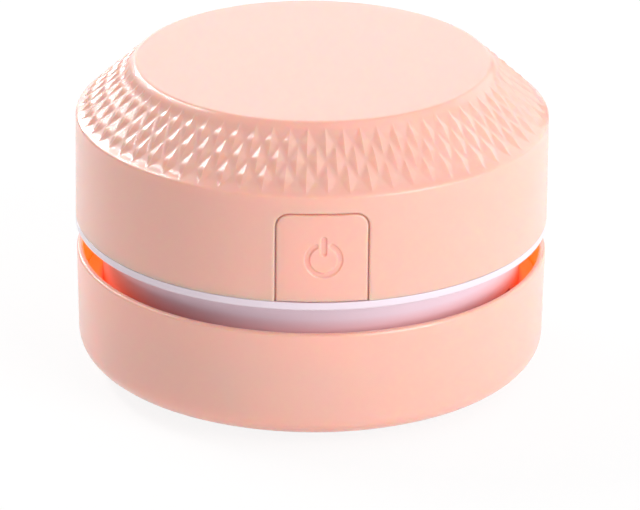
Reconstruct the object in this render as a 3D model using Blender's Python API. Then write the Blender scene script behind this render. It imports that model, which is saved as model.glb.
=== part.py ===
# Desktop mini vacuum cleaner: a knurled head with its motor and fan, a lift-out filter and a dust cup.
# Metres, +Z up. The origin is on the table under the middle of the round body, and the button faces -Y.

import math

import bmesh
import bpy
from mathutils import Matrix, Vector

mm = 0.001

# Clearances
SEAT_GAP = 0.3 * mm  # between pieces that touch
SEAM = 0.2 * mm  # trim ring to skirt
RUN_GAP = 0.1 * mm  # shaft in its bushes
SINK = 0.4 * mm  # how far a joined shape is let into its carrier
OVERRUN = 1.0 * mm  # how far a cutter passes the face it cuts

# Outside of the body
SKIRT_R = 43.4 * mm
SIDE_DRAFT = 0.25 * mm  # skirt's foot in to the shoulder
BEVEL_IN = 10.95 * mm  # shoulder in to the crown's corner
STAND_OFF = 2.5 * mm
CUP_H = 20.5 * mm
EXHAUST_GAP = 4.7 * mm
RING_H = 1.3 * mm
SIDE_H = 19.55 * mm
BEVEL_H = 9.95 * mm
SHELL_WALL = 1.8 * mm
CROWN_ROUND = 1.3 * mm
SHOULDER_ROUND = 0.6 * mm
EDGE_ROUND = 0.35 * mm
FINE_ROUND = 1.2 * mm  # an edge rounded by less is only broken

# Knurled bevel
KNURL_COUNT = 69
KNURL_ROWS = 3
KNURL_H = 0.7 * mm
KNURL_RECESS = 0.5 * mm  # the knurled band lies below its two plain edges
KNURL_TOP_BAND = 0.72 * mm
KNURL_LOW_BAND = 0.3 * mm
KNURL_VALLEY_share = 0.24  # of a cell's inner radius, left flat round each pyramid

# Dust cup
CUP_SET_IN = 0.1 * mm  # skirt's face in to the cup's rim
CUP_DRAFT = 0.2 * mm
CUP_WALL = 1.2 * mm
CUP_FLOOR = 1.8 * mm
CUP_ROUND = 4.5 * mm
RIM_ROUND = 0.6 * mm
INLET_R = 6.5 * mm
INLET_WALL = 1.4 * mm
DUST_DEPTH = 9.5 * mm  # cup's floor up to the flange
STOP_RIBS = 8
STOP_RIB_W = 1.2 * mm
STOP_RIB_DEEP = 2.4 * mm
STOP_RIB_START = math.radians(22.5)

# Brush under the cup
BRUSH_R = 15.5 * mm
BRUSH_W = 4.4 * mm
BRUSH_CHANNEL_DEEP = 2.5 * mm
BRUSH_WALL = 1.4 * mm
BRUSH_BACKING = 1.1 * mm
BRUSH_ARC = math.radians(70)
BRUSH_STRIPS = 4
BRISTLE_W = 3.4 * mm
BRISTLE_CLEAR = 0.3 * mm  # bristle tips to the table

# Glide feet
FOOT_SET_IN = 5.6 * mm  # from the cup's rounded foot
FOOT_R = 3.0 * mm
FOOT_LET_IN = 0.8 * mm
FEET = 4

# Chassis
FLANGE_SLIP = 0.2 * mm  # flange to the cup's wall
FLANGE_T = 2.4 * mm
SEAL_W = 1.2 * mm
SEAL_H = 1.0 * mm
NECK_SET_IN = 4.5 * mm  # skirt's face in to the neck
NECK_DRAFT = 0.5 * mm
NECK_WALL = 1.8 * mm
SPIGOT_SET_IN = 1.9 * mm
SPIGOT_WALL = 1.4 * mm
SPIGOT_RISE = 3.0 * mm
WELL_SET_IN = 2.0 * mm  # impeller's edge in to the filter well
WELL_WALL = 1.4 * mm
WELL_DEEP = 4.2 * mm
FAN_FLOOR_T = 1.2 * mm
EYE_R = 9.0 * mm
GUARD_SPOKES = 6
GUARD_BAR = 1.2 * mm
GUARD_RING_R = 3.6 * mm

# Vent slots in the neck, in four banks
VENT_SILL = 0.3 * mm
VENT_H = 2.9 * mm
VENT_W = 6.4 * mm
VENT_BANK_ANGLE = math.radians(40)
VENT_PITCH = math.radians(15.6)
VENTS_A_BANK = 4

# Screw posts and bosses
POST_SET_IN = 4.4 * mm  # foot of the neck's wall in to the posts
POST_R = 3.2 * mm
BOSS_R = 3.0 * mm
POST_WEB_W = 1.6 * mm
SCREW_R = 1.2 * mm
SCREW_HEAD_R = 2.3 * mm
SCREW_HEAD_H = 1.5 * mm
SCREW_BITE = 6.0 * mm
SCREW_SEAT = 4.0 * mm  # flange underside up to the head's seat

# Fan and motor
FAN_GAP = 0.6 * mm
FAN_SIDE_GAP = 1.8 * mm  # posts to the impeller's edge
BLADES = 9
BLADE_T = 0.9 * mm
BLADE_H = 3.4 * mm
BLADE_SWEEP = math.radians(62)
BLADE_INNER_R = 6.8 * mm
BACKPLATE_T = 1.2 * mm
HUB_R = 3.4 * mm
SHAFT_R = 1.0 * mm
PLATE_T = 1.8 * mm
PLATE_COLLAR_W = 1.4 * mm
PLATE_COLLAR_H = 3.0 * mm
MOTOR_R = 12.0 * mm
MOTOR_H = 11.5 * mm
MOTOR_ROUND = 1.0 * mm
NOSE_R = 3.6 * mm
BUSH_R = 2.5 * mm
BUSH_H = 1.6 * mm
CAP_H = 1.5 * mm
SHAFT_PROUD = 0.5 * mm
MOTOR_SCREW_RING_R = 8.0 * mm
MOTOR_SCREW_R = 0.8 * mm
MOTOR_SCREW_HEAD_R = 1.5 * mm
MOTOR_SCREW_HEAD_H = 0.7 * mm
MOTOR_SCREW_L = 3.0 * mm
TERMINAL_RING_R = 7.5 * mm
TERMINAL_W = 2.4 * mm
TERMINAL_T = 0.5 * mm
TERMINAL_PROUD = 1.2 * mm
LEAD_R = 0.5 * mm
LEAD_REACH = 5.0 * mm

# Circuit board and cell
BOARD_RISE = 1.6 * mm  # motor cap up to the board
BOARD_T = 1.6 * mm
BOARD_SIDE_GAP = 0.6 * mm  # bosses to the board and the cell
BOARD_SET_IN = 12.4 * mm  # skirt's face in to the board's ends
BOARD_TONGUE_HALF_W = 7.0 * mm
BOARD_ROUND = 1.5 * mm
BOARD_SCREW_FROM_SIDE = 5.0 * mm
BOARD_SCREW_FROM_END = 3.5 * mm
BOARD_BOSS_R = 2.1 * mm
BOARD_SCREW_R = 0.9 * mm
BOARD_SCREW_HEAD_R = 1.8 * mm
BOARD_SCREW_HEAD_H = 1.0 * mm
BOARD_SCREW_BITE = 4.0 * mm
PAD_T = 0.8 * mm
CELL_END_GAP = 2.4 * mm  # cell to the board's bosses
CELL_H = 8.0 * mm
CELL_ROUND = 2.5 * mm
PAD_INSET = 2.0 * mm

# Charging socket, at the back
USB_W = 8.9 * mm
USB_H = 3.2 * mm
USB_L = 7.3 * mm
USB_WALL = 0.35 * mm
USB_BACK = 1.0 * mm
USB_RECESS = 2.2 * mm  # socket mouth behind the skirt's face
USB_MARGIN = 0.35 * mm
TONGUE_W = 6.7 * mm
TONGUE_T = 0.7 * mm
TONGUE_L = 4.6 * mm

# Power button and its switch, at the front
BUTTON_W = 16.0 * mm
BUTTON_TOP_BAND = 3.35 * mm  # shoulder down to the button
BUTTON_ROUND = 2.3 * mm
BUTTON_GAP = 0.3 * mm
BUTTON_TRAVEL = 0.8 * mm
BUTTON_WEDGE_STEPS = 7
LIP_W = 1.2 * mm
LIP_T = 1.0 * mm
STEM_R = 2.2 * mm
STEM_L = 0.6 * mm
SWITCH_W = 6.0 * mm
SWITCH_H = 4.0 * mm
SWITCH_L = 3.6 * mm
SWITCH_BORE_DEEP = 2.2 * mm
PLUNGER_R = 1.0 * mm
PLUNGER_L = 2.2 * mm
PLUNGER_REST = 0.4 * mm  # what stays out of the switch when pressed

# Filter
FILTER_GAP = 0.4 * mm
FILTER_WALL = 1.4 * mm
FILTER_RIM_W = 2.0 * mm
FILTER_RIM_T = 1.1 * mm
FILTER_SPOKES = 6
FILTER_SPOKE_W = 1.4 * mm
FILTER_HUB_R = 3.5 * mm
FILTER_TAB_L = 6.0 * mm
FILTER_TAB_H = 2.6 * mm
FILTER_TAB_T = 1.2 * mm
SCREEN_T = 0.5 * mm
SCREEN_RINGS = 3
SCREEN_SPOKES = 10
SCREEN_BAR_share = 0.3
FILTER_PAD_T = 2.2 * mm

# Faceting
ROUND_STEPS = 32
FAN_STEPS = 24
MOTOR_STEPS = 20
SMALL_STEPS = 12
TINY_STEPS = 8
ARC_STEPS = 3
BRUSH_STEPS = 6
BLADE_STEPS = 4

knurl_step = 2 * math.pi / KNURL_COUNT

# Stack of heights, from the table up
cup_z = STAND_OFF
rim_z = cup_z + CUP_H
ring_z = rim_z + EXHAUST_GAP
skirt_z = ring_z + RING_H + SEAM
shoulder_z = skirt_z + SIDE_H
crown_z = shoulder_z + BEVEL_H
crown_inner_z = crown_z - SHELL_WALL
floor_z = cup_z + CUP_FLOOR
channel_z = cup_z + BRUSH_CHANNEL_DEEP
flange_z = floor_z + DUST_DEPTH
flange_top_z = flange_z + FLANGE_T
filter_z = flange_z - SEAT_GAP - FILTER_RIM_T
chimney_z = filter_z - FILTER_TAB_H - SEAT_GAP
vent_z = flange_top_z + VENT_SILL
neck_top_z = ring_z - SEAT_GAP
spigot_z = ring_z + SPIGOT_RISE
fan_floor_z = flange_z + WELL_DEEP
fan_z = fan_floor_z + FAN_FLOOR_T + FAN_GAP
backplate_z = fan_z + BLADE_H
plate_z = backplate_z + BACKPLATE_T + FAN_GAP
post_z = plate_z - SEAT_GAP
plate_top_z = plate_z + PLATE_T
boss_z = plate_top_z + SEAT_GAP
motor_z = plate_top_z + SEAT_GAP
motor_top_z = motor_z + MOTOR_H
cap_z = motor_top_z + SEAT_GAP
cap_top_z = cap_z + CAP_H
board_z = cap_top_z + BOARD_RISE
board_top_z = board_z + BOARD_T
pad_z = board_top_z + SEAT_GAP
cell_z = pad_z + PAD_T + SEAT_GAP
button_top_z = shoulder_z - BUTTON_TOP_BAND
switch_z = board_z - SEAT_GAP - SWITCH_H / 2
usb_z = board_z - SEAT_GAP - USB_H / 2

# Radii, from the skirt inwards
shoulder_r = SKIRT_R - SIDE_DRAFT
crown_r = shoulder_r - BEVEL_IN
cup_rim_r = SKIRT_R - CUP_SET_IN
cup_foot_r = cup_rim_r - CUP_DRAFT
flange_share = (flange_z - floor_z) / (rim_z - floor_z)
flange_r = cup_foot_r + CUP_DRAFT * flange_share - CUP_WALL - FLANGE_SLIP
foot_ring_r = cup_foot_r - CUP_ROUND - FOOT_SET_IN - FOOT_R
neck_r = SKIRT_R - NECK_SET_IN
neck_foot_r = neck_r - NECK_DRAFT
spigot_r = neck_r - SPIGOT_SET_IN
post_ring_r = neck_foot_r - NECK_WALL - POST_SET_IN - POST_R
impeller_r = post_ring_r - POST_R - FAN_SIDE_GAP
well_r = impeller_r - WELL_SET_IN

# Board, cell, button and switch, fitted between the bosses and the skirt
board_half_w = post_ring_r * math.sin(VENT_BANK_ANGLE) - BOSS_R - BOARD_SIDE_GAP
board_half_l = SKIRT_R - BOARD_SET_IN
board_screw_x = board_half_w - BOARD_SCREW_FROM_SIDE
board_screw_y = board_half_l - BOARD_SCREW_FROM_END
cell_half_l = board_screw_y - BOARD_BOSS_R - CELL_END_GAP
wall_inside_r = (shoulder_r - SHELL_WALL) * math.cos(knurl_step / 2)
lip_front = math.sqrt(wall_inside_r**2 - (BUTTON_W / 2 + LIP_W) ** 2) - SEAT_GAP
stem_end = lip_front - LIP_T - STEM_L
plunger_proud = BUTTON_TRAVEL + PLUNGER_REST
switch_y = -stem_end + SEAT_GAP + plunger_proud
socket_y = SKIRT_R - USB_RECESS
post_angles = [
    side * VENT_BANK_ANGLE + turn for turn in (0, math.pi) for side in (1, -1)
]


def linear(red, green, blue):
    """An sRGB colour, 0 to 255, as Blender's linear values."""
    return [
        (part / 255 / 12.92) if part <= 10 else ((part / 255 + 0.055) / 1.055) ** 2.4
        for part in (red, green, blue)
    ]


def material(name, colour, roughness, metallic=0.0):
    made = bpy.data.materials.new(name)
    made.use_nodes = True
    shader = made.node_tree.nodes["Principled BSDF"]
    shader.inputs["Base Color"].default_value = (*linear(*colour), 1.0)
    shader.inputs["Roughness"].default_value = roughness
    shader.inputs["Metallic"].default_value = metallic
    return made


def polar(radius, angle, z=0.0):
    """A point at an angle from the button's side, -Y, turning towards +X."""
    return Vector((radius * math.sin(angle), -radius * math.cos(angle), z))


def rounded(corners, closed=True):
    """The outline through (x, y, radius) corners: small ones are broken, larger ones turned into arcs."""
    points = []
    last = len(corners) - 1
    for index, (x, y, radius) in enumerate(corners):
        here = Vector((x, y))
        if radius == 0 or (not closed and index in (0, last)):
            points.append((x, y))
            continue
        back = (Vector(corners[index - 1][:2]) - here).normalized()
        ahead = (Vector(corners[(index + 1) % len(corners)][:2]) - here).normalized()
        half = back.angle(ahead) / 2
        steps = ARC_STEPS if radius > FINE_ROUND else 1
        reach = radius / math.tan(half)
        centre = here + (back + ahead).normalized() * radius / math.sin(half)
        first = here + back * reach - centre
        final = here + ahead * reach - centre
        start = math.atan2(first.y, first.x)
        turn = (math.atan2(final.y, final.x) - start + math.pi) % (2 * math.pi) - math.pi
        for step in range(steps + 1):
            angle = start + turn * step / steps
            points.append((centre.x + radius * math.cos(angle), centre.y + radius * math.sin(angle)))
    return points


def revolved(profile, steps, start=0.0, turn=2 * math.pi):
    """A closed (radius, z) profile spun about Z, all the way round or as a wedge with flat ends."""
    bm = bmesh.new()
    verts = [bm.verts.new(polar(radius, start, z)) for radius, z in profile]
    edges = [bm.edges.new((verts[i - 1], verts[i])) for i in range(len(verts))]
    parts = verts + edges
    full = turn > 2 * math.pi - knurl_step / 2
    if not full:
        parts.append(bm.faces.new(verts))
    bmesh.ops.spin(
        bm, geom=parts, cent=(0, 0, 0), axis=(0, 0, 1), angle=turn, steps=steps, use_merge=full
    )
    on_axis = [vert for vert in bm.verts if vert.co.xy.length < SEAT_GAP / 100]
    bmesh.ops.remove_doubles(bm, verts=on_axis, dist=SEAT_GAP / 10)
    bmesh.ops.recalc_face_normals(bm, faces=bm.faces)
    return bm


def prism(outline, low, high, place=None):
    """An (x, y) outline raised from low to high, then moved by the matrix place."""
    bm = bmesh.new()
    base = bm.faces.new([bm.verts.new((x, y, low)) for x, y in outline])
    raised = bmesh.ops.extrude_face_region(bm, geom=[base])["geom"]
    tops = [item for item in raised if isinstance(item, bmesh.types.BMVert)]
    bmesh.ops.translate(bm, verts=tops, vec=(0, 0, high - low))
    bmesh.ops.recalc_face_normals(bm, faces=bm.faces)
    if place is not None:
        bmesh.ops.transform(bm, matrix=place, verts=bm.verts)
    return bm


def disc(radius, low, high, steps=SMALL_STEPS, centre=(0, 0)):
    outline = [
        (
            centre[0] + radius * math.cos(2 * math.pi * step / steps),
            centre[1] + radius * math.sin(2 * math.pi * step / steps),
        )
        for step in range(steps)
    ]
    return prism(outline, low, high)


def rectangle(half_x, half_y, radius=0.0, centre=(0, 0)):
    x, y = centre
    return rounded(
        [
            (x - half_x, y - half_y, radius),
            (x + half_x, y - half_y, radius),
            (x + half_x, y + half_y, radius),
            (x - half_x, y + half_y, radius),
        ]
    )


def ring_profile(inner, outer, low, high, radius=0.0):
    return rounded([(inner, low, 0), (outer, low, radius), (outer, high, radius), (inner, high, 0)])


def gathered(shapes):
    """Several shapes as one mesh of separate islands."""
    whole = bmesh.new()
    for shape in shapes:
        mesh = bpy.data.meshes.new("island")
        shape.to_mesh(mesh)
        shape.free()
        whole.from_mesh(mesh)
        bpy.data.meshes.remove(mesh)
    return whole


def placed(name, bm, finish, carrier=None, origin=(0, 0, 0)):
    """The named piece, with its origin where asked, carried by an empty."""
    bmesh.ops.translate(bm, verts=bm.verts, vec=-Vector(origin))
    mesh = bpy.data.meshes.new(name)
    bm.to_mesh(mesh)
    bm.free()
    mesh.materials.append(finish)
    mesh.shade_smooth()
    mesh.set_sharp_from_angle(angle=math.radians(28))
    piece = bpy.data.objects.new(name, mesh)
    bpy.context.scene.collection.objects.link(piece)
    piece.location = origin
    if carrier is not None:
        carry(piece, carrier)
    return piece


def carry(piece, carrier):
    """Parents a piece to an empty and leaves it where it is."""
    piece.parent = carrier
    piece.matrix_parent_inverse = Matrix.Translation(-Vector(carrier["at"]))


def pivot(name, at, carrier=None):
    """An empty on a joint's axis."""
    empty = bpy.data.objects.new(name, None)
    bpy.context.scene.collection.objects.link(empty)
    empty.empty_display_size = POST_R
    empty.location = at
    empty["at"] = at
    if carrier is not None:
        carry(empty, carrier)
    return empty


def combine(piece, bm, operation):
    """A live Boolean of the piece with a hidden tool shape."""
    mesh = bpy.data.meshes.new(piece.name + "_tool")
    bm.to_mesh(mesh)
    bm.free()
    tool = bpy.data.objects.new(mesh.name, mesh)
    bpy.context.scene.collection.objects.link(tool)
    tool.hide_render = True
    tool.display_type = "WIRE"
    step = piece.modifiers.new(operation.lower(), "BOOLEAN")
    step.operation = operation
    step.object = tool
    tool.parent = piece
    tool.matrix_parent_inverse = Matrix.Translation(-Vector(piece.location))


def along_y(x=0.0, y=0.0, z=0.0):
    """Lays a prism along +Y: its outline's y becomes height and its raised direction runs back."""
    lay = Matrix.Rotation(math.pi / 2, 4, "X") @ Matrix.Scale(-1, 4, (0, 0, 1))
    return Matrix.Translation((x, y, z)) @ lay


def facing(bm):
    bmesh.ops.recalc_face_normals(bm, faces=bm.faces)
    return bm


def turned(outline, low, high, angle):
    """A prism drawn with -Y outwards, then swung round Z to its angle."""
    return prism(outline, low, high, Matrix.Rotation(angle, 4, "Z"))


def slope_point(along, below=0.0):
    """The bevel's (radius, z) at a distance down its slope from the crown's corner, and below its face."""
    down = Vector((shoulder_r - crown_r, -BEVEL_H)).normalized()
    return crown_r + down.x * along + down.y * below, crown_z + down.y * along - down.x * below


def side_radius(z):
    return SKIRT_R + (shoulder_r - SKIRT_R) * (z - skirt_z) / SIDE_H


def knurled_shell():
    """The top housing: flat crown, three staggered rows of raised pyramids, skirt and hollow inside."""
    slope = math.hypot(shoulder_r - crown_r, BEVEL_H)
    spacing = (slope - KNURL_TOP_BAND - KNURL_LOW_BAND) / (KNURL_ROWS + 1)
    bm = bmesh.new()

    def ring(radius, z, phase=0.5):
        return [bm.verts.new(polar(radius, (k + phase) * knurl_step, z)) for k in range(KNURL_COUNT)]

    def bridge(upper, lower):
        for k in range(KNURL_COUNT):
            bm.faces.new((upper[k - 1], lower[k - 1], lower[k], upper[k]))

    corner = [(0, crown_z, 0), (crown_r, crown_z, CROWN_ROUND), (*slope_point(slope / 2), 0)]
    above = [ring(radius, z) for radius, z in rounded(corner, closed=False)[1:-1]]
    bm.faces.new(above[0])
    levels = []
    for level in range(KNURL_ROWS + 2):
        phase = 0.5 if level % 2 == 0 else 0.0
        recess = KNURL_RECESS if 0 < level <= KNURL_ROWS else 0.0
        levels.append(ring(*slope_point(KNURL_TOP_BAND + level * spacing, recess), phase))
    for upper, lower in zip(above, above[1:] + levels[:1]):
        bridge(upper, lower)
    rows = []
    for row in range(1, KNURL_ROWS + 1):
        shift = row % 2
        top, middle, bottom = levels[row - 1], levels[row], levels[row + 1]
        cells = []
        for k in range(KNURL_COUNT):
            left = middle[k - 1 + shift]
            right = middle[(k + shift) % KNURL_COUNT]
            cells.append(bm.faces.new((top[k], left, bottom[k], right)))
        rows.append(cells)
    for k in range(KNURL_COUNT):
        bm.faces.new((levels[0][k - 1], levels[1][k], levels[0][k]))
        bm.faces.new((levels[-1][k - 1], levels[-1][k], levels[-2][k]))
    wall_r = SKIRT_R - SHELL_WALL
    corner = [
        (*slope_point(slope / 2), 0),
        (shoulder_r, shoulder_z, SHOULDER_ROUND),
        (SKIRT_R, skirt_z, 0),
        (wall_r, skirt_z, 0),
        (shoulder_r - SHELL_WALL, shoulder_z - SHELL_WALL / 2, 0),
        (crown_r - SHELL_WALL / 2, crown_inner_z, 0),
    ]
    below = [ring(radius, z) for radius, z in rounded(corner, closed=False)[1:]]
    for upper, lower in zip(levels[-1:] + below, below):
        bridge(upper, lower)
    bm.faces.new(below[-1])
    bmesh.ops.recalc_face_normals(bm, faces=bm.faces)
    for row, cells in enumerate(rows, 1):
        half_w = slope_point(KNURL_TOP_BAND + row * spacing)[0] * knurl_step / 2
        inner = half_w * spacing / math.hypot(half_w, spacing)
        bmesh.ops.inset_individual(
            bm, faces=cells, thickness=inner * KNURL_VALLEY_share, use_even_offset=True
        )
        bmesh.ops.poke(bm, faces=cells, offset=KNURL_H, center_mode="MEAN")
    return bm


def button_outline(margin, top_margin, low):
    """The button's front outline in (x, z): square below, round above."""
    half = BUTTON_W / 2 + margin
    high = button_top_z + top_margin
    radius = BUTTON_ROUND + margin
    return rounded([(-half, low, 0), (half, low, 0), (half, high, radius), (-half, high, radius)])


def post_places():
    return [polar(post_ring_r, angle).xy for angle in post_angles]


def make_housing(finish):
    """The knurled shell with its aperture for the button, its socket window and the bosses inside."""
    housing = placed("top_housing", knurled_shell(), finish, head)
    top = crown_inner_z + SINK
    bosses = [disc(BOSS_R, boss_z, top, SMALL_STEPS, place) for place in post_places()]
    bosses += [
        disc(BOARD_BOSS_R, board_top_z + SEAT_GAP, top, TINY_STEPS, place) for place in board_screw_places()
    ]
    combine(housing, gathered(bosses), "UNION")
    pilots = [
        disc(
            SCREW_R + SEAT_GAP,
            boss_z - OVERRUN,
            boss_z + SCREW_BITE + OVERRUN,
            TINY_STEPS,
            place,
        )
        for place in post_places()
    ]
    pilots += [
        disc(
            BOARD_SCREW_R + SEAT_GAP,
            board_top_z - OVERRUN,
            board_top_z + BOARD_SCREW_BITE + OVERRUN,
            TINY_STEPS,
            place,
        )
        for place in board_screw_places()
    ]
    aperture = prism(
        button_outline(BUTTON_GAP, BUTTON_GAP, skirt_z - OVERRUN),
        -SKIRT_R - OVERRUN,
        -shoulder_r + SHELL_WALL + LIP_T + OVERRUN,
        along_y(),
    )
    window = prism(
        rectangle(USB_W / 2 + USB_MARGIN, USB_H / 2 + USB_MARGIN, USB_H / 2, (0, usb_z)),
        shoulder_r - SHELL_WALL - OVERRUN,
        SKIRT_R + OVERRUN,
        along_y(),
    )
    combine(housing, gathered([*pilots, facing(aperture), facing(window)]), "DIFFERENCE")


def make_trim_ring(finish):
    inner = spigot_r + SEAT_GAP
    profile = ring_profile(inner, SKIRT_R, ring_z, ring_z + RING_H, EDGE_ROUND)
    placed("trim_ring", revolved(profile, ROUND_STEPS), finish, head)


def make_chassis(finish):
    """Neck, sealing flange, filter well and fan floor, turned as one, with posts, vents and a guard."""
    groove_r = flange_r - SEAL_W
    groove_z = flange_z + (FLANGE_T - SEAL_H) / 2 - SEAT_GAP
    profile = rounded(
        [
            (EYE_R, fan_floor_z, 0),
            (well_r, fan_floor_z, 0),
            (well_r, flange_z, 0),
            (flange_r, flange_z, 0),
            (flange_r, groove_z, 0),
            (groove_r, groove_z, 0),
            (groove_r, groove_z + SEAL_H + 2 * SEAT_GAP, 0),
            (flange_r, groove_z + SEAL_H + 2 * SEAT_GAP, 0),
            (flange_r, flange_top_z, 0),
            (neck_foot_r, flange_top_z, 0),
            (neck_r, neck_top_z, 0),
            (spigot_r, neck_top_z, 0),
            (spigot_r, spigot_z, 0),
            (spigot_r - SPIGOT_WALL, spigot_z, 0),
            (spigot_r - SPIGOT_WALL, neck_top_z - NECK_WALL, 0),
            (neck_foot_r - NECK_WALL, flange_top_z, 0),
            (well_r + WELL_WALL, flange_top_z, 0),
            (well_r + WELL_WALL, fan_floor_z + FAN_FLOOR_T, 0),
            (EYE_R, fan_floor_z + FAN_FLOOR_T, 0),
        ],
    )
    chassis = placed("chassis", revolved(profile, ROUND_STEPS), finish, head)
    posts = [disc(POST_R, flange_top_z - SINK, post_z, SMALL_STEPS, place) for place in post_places()]
    combine(chassis, gathered(posts), "UNION")
    web = [
        (-POST_WEB_W / 2, -neck_foot_r + NECK_WALL - SINK),
        (POST_WEB_W / 2, -neck_foot_r + NECK_WALL - SINK),
        (POST_WEB_W / 2, -post_ring_r - POST_R / 2),
        (-POST_WEB_W / 2, -post_ring_r - POST_R / 2),
    ]
    web_top = neck_top_z - 2 * NECK_WALL
    webs = [turned(web, flange_top_z - SINK, web_top, angle) for angle in post_angles]
    combine(chassis, gathered(webs), "UNION")
    combine(chassis, guard_spokes(), "UNION")
    low, seat = flange_z - OVERRUN, flange_z + SCREW_SEAT
    sinks = [disc(SCREW_HEAD_R + SEAT_GAP, low, seat, SMALL_STEPS, place) for place in post_places()]
    combine(chassis, gathered(sinks), "DIFFERENCE")
    low, high = seat - SCREW_SEAT / 2, post_z + OVERRUN
    holes = [disc(SCREW_R + SEAT_GAP, low, high, TINY_STEPS, place) for place in post_places()]
    vent = [
        (-VENT_W / 2, -neck_r - OVERRUN),
        (VENT_W / 2, -neck_r - OVERRUN),
        (VENT_W / 2, -neck_foot_r + NECK_WALL + OVERRUN),
        (-VENT_W / 2, -neck_foot_r + NECK_WALL + OVERRUN),
    ]
    for bank in post_angles:
        for index in range(VENTS_A_BANK):
            angle = bank + (index - (VENTS_A_BANK - 1) / 2) * VENT_PITCH
            holes.append(turned(vent, vent_z, vent_z + VENT_H, angle))
    combine(chassis, gathered(holes), "DIFFERENCE")


def guard_spokes():
    """The finger guard across the fan's eye: spokes that meet at a solid button."""
    outline = []
    half = math.asin(GUARD_BAR / 2 / GUARD_RING_R)
    reach = EYE_R + SINK
    tip = math.asin(GUARD_BAR / 2 / reach)
    for spoke in range(GUARD_SPOKES):
        angle = 2 * math.pi * spoke / GUARD_SPOKES
        for radius, offset in (
            (GUARD_RING_R, -half),
            (reach, -tip),
            (reach, tip),
            (GUARD_RING_R, half),
        ):
            outline.append(tuple(polar(radius, angle + offset).xy))
    return prism(outline, fan_floor_z, fan_floor_z + FAN_FLOOR_T)


def make_seal(finish):
    low = flange_z + (FLANGE_T - SEAL_H) / 2
    inner = flange_r - SEAL_W + SEAT_GAP
    profile = ring_profile(inner, flange_r + SEAM / 2, low, low + SEAL_H)
    placed("cup_seal", revolved(profile, ROUND_STEPS), finish, head)


def make_motor_plate(finish):
    outer = spigot_r - SPIGOT_WALL - SEAT_GAP
    nose = NOSE_R + SEAT_GAP
    collar = MOTOR_R + SEAT_GAP
    profile = [
        (nose, plate_z),
        (outer, plate_z),
        (outer, plate_top_z),
        (collar + PLATE_COLLAR_W, plate_top_z),
        (collar + PLATE_COLLAR_W, plate_top_z + PLATE_COLLAR_H),
        (collar, plate_top_z + PLATE_COLLAR_H),
        (collar, plate_top_z),
        (nose, plate_top_z),
    ]
    plate = placed("motor_plate", revolved(profile, FAN_STEPS), finish, head)
    holes = [
        disc(
            SCREW_R + SEAT_GAP,
            plate_z - OVERRUN,
            plate_top_z + OVERRUN,
            TINY_STEPS,
            place,
        )
        for place in post_places()
    ]
    low = plate_z - OVERRUN
    for side in (1, -1):
        place = (side * MOTOR_SCREW_RING_R, 0)
        holes.append(disc(MOTOR_SCREW_R + SEAT_GAP, low, plate_top_z + OVERRUN, TINY_STEPS, place))
    combine(plate, gathered(holes), "DIFFERENCE")
    sinks = [
        disc(
            MOTOR_SCREW_HEAD_R + SEAT_GAP,
            low,
            plate_z + MOTOR_SCREW_HEAD_H + SEAT_GAP,
            TINY_STEPS,
            (side * MOTOR_SCREW_RING_R, 0),
        )
        for side in (1, -1)
    ]
    combine(plate, gathered(sinks), "DIFFERENCE")


def make_motor(steel, nylon, bronze):
    """Can with its nose, end cap, two bushes and the terminals."""
    bore = SHAFT_R + SEAT_GAP
    seat = BUSH_R + SEAT_GAP
    nose_z = plate_z + SEAT_GAP
    profile = rounded(
        [
            (seat, nose_z, 0),
            (NOSE_R, nose_z, 0),
            (NOSE_R, motor_z, 0),
            (MOTOR_R, motor_z, MOTOR_ROUND),
            (MOTOR_R, motor_top_z, EDGE_ROUND),
            (bore, motor_top_z, 0),
            (bore, nose_z + BUSH_H + SEAT_GAP, 0),
            (seat, nose_z + BUSH_H + SEAT_GAP, 0),
        ]
    )
    can = placed("motor_can", revolved(profile, MOTOR_STEPS), steel, head)
    taps = [
        disc(
            MOTOR_SCREW_R + SEAT_GAP,
            motor_z - OVERRUN,
            motor_z + MOTOR_SCREW_L,
            TINY_STEPS,
            (side * MOTOR_SCREW_RING_R, 0),
        )
        for side in (1, -1)
    ]
    combine(can, gathered(taps), "DIFFERENCE")
    profile = rounded(
        [
            (seat, cap_z, 0),
            (MOTOR_R - MOTOR_ROUND / 2, cap_z, 0),
            (MOTOR_R - MOTOR_ROUND / 2, cap_top_z, EDGE_ROUND),
            (seat, cap_top_z, 0),
        ]
    )
    cap = placed("motor_end_cap", revolved(profile, MOTOR_STEPS), nylon, head)
    slots = [
        prism(
            rectangle(
                TERMINAL_T / 2 + SEAT_GAP,
                TERMINAL_W / 2 + SEAT_GAP,
                centre=(side * TERMINAL_RING_R, 0),
            ),
            cap_z + SEAT_GAP,
            cap_top_z + OVERRUN,
        )
        for side in (1, -1)
    ]
    combine(cap, gathered(slots), "DIFFERENCE")
    for name, low in (("bush_front", nose_z), ("bush_rear", cap_z)):
        ring = ring_profile(SHAFT_R + RUN_GAP, BUSH_R, low, low + BUSH_H - SEAM)
        placed(name, revolved(ring, SMALL_STEPS), bronze, head)
    for index, side in enumerate((1, -1), 1):
        blade = rectangle(TERMINAL_T / 2, TERMINAL_W / 2, centre=(side * TERMINAL_RING_R, 0))
        top = cap_top_z + TERMINAL_PROUD
        placed(f"motor_terminal_{index}", prism(blade, cap_z + 2 * SEAT_GAP, top), bronze, head)


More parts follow.
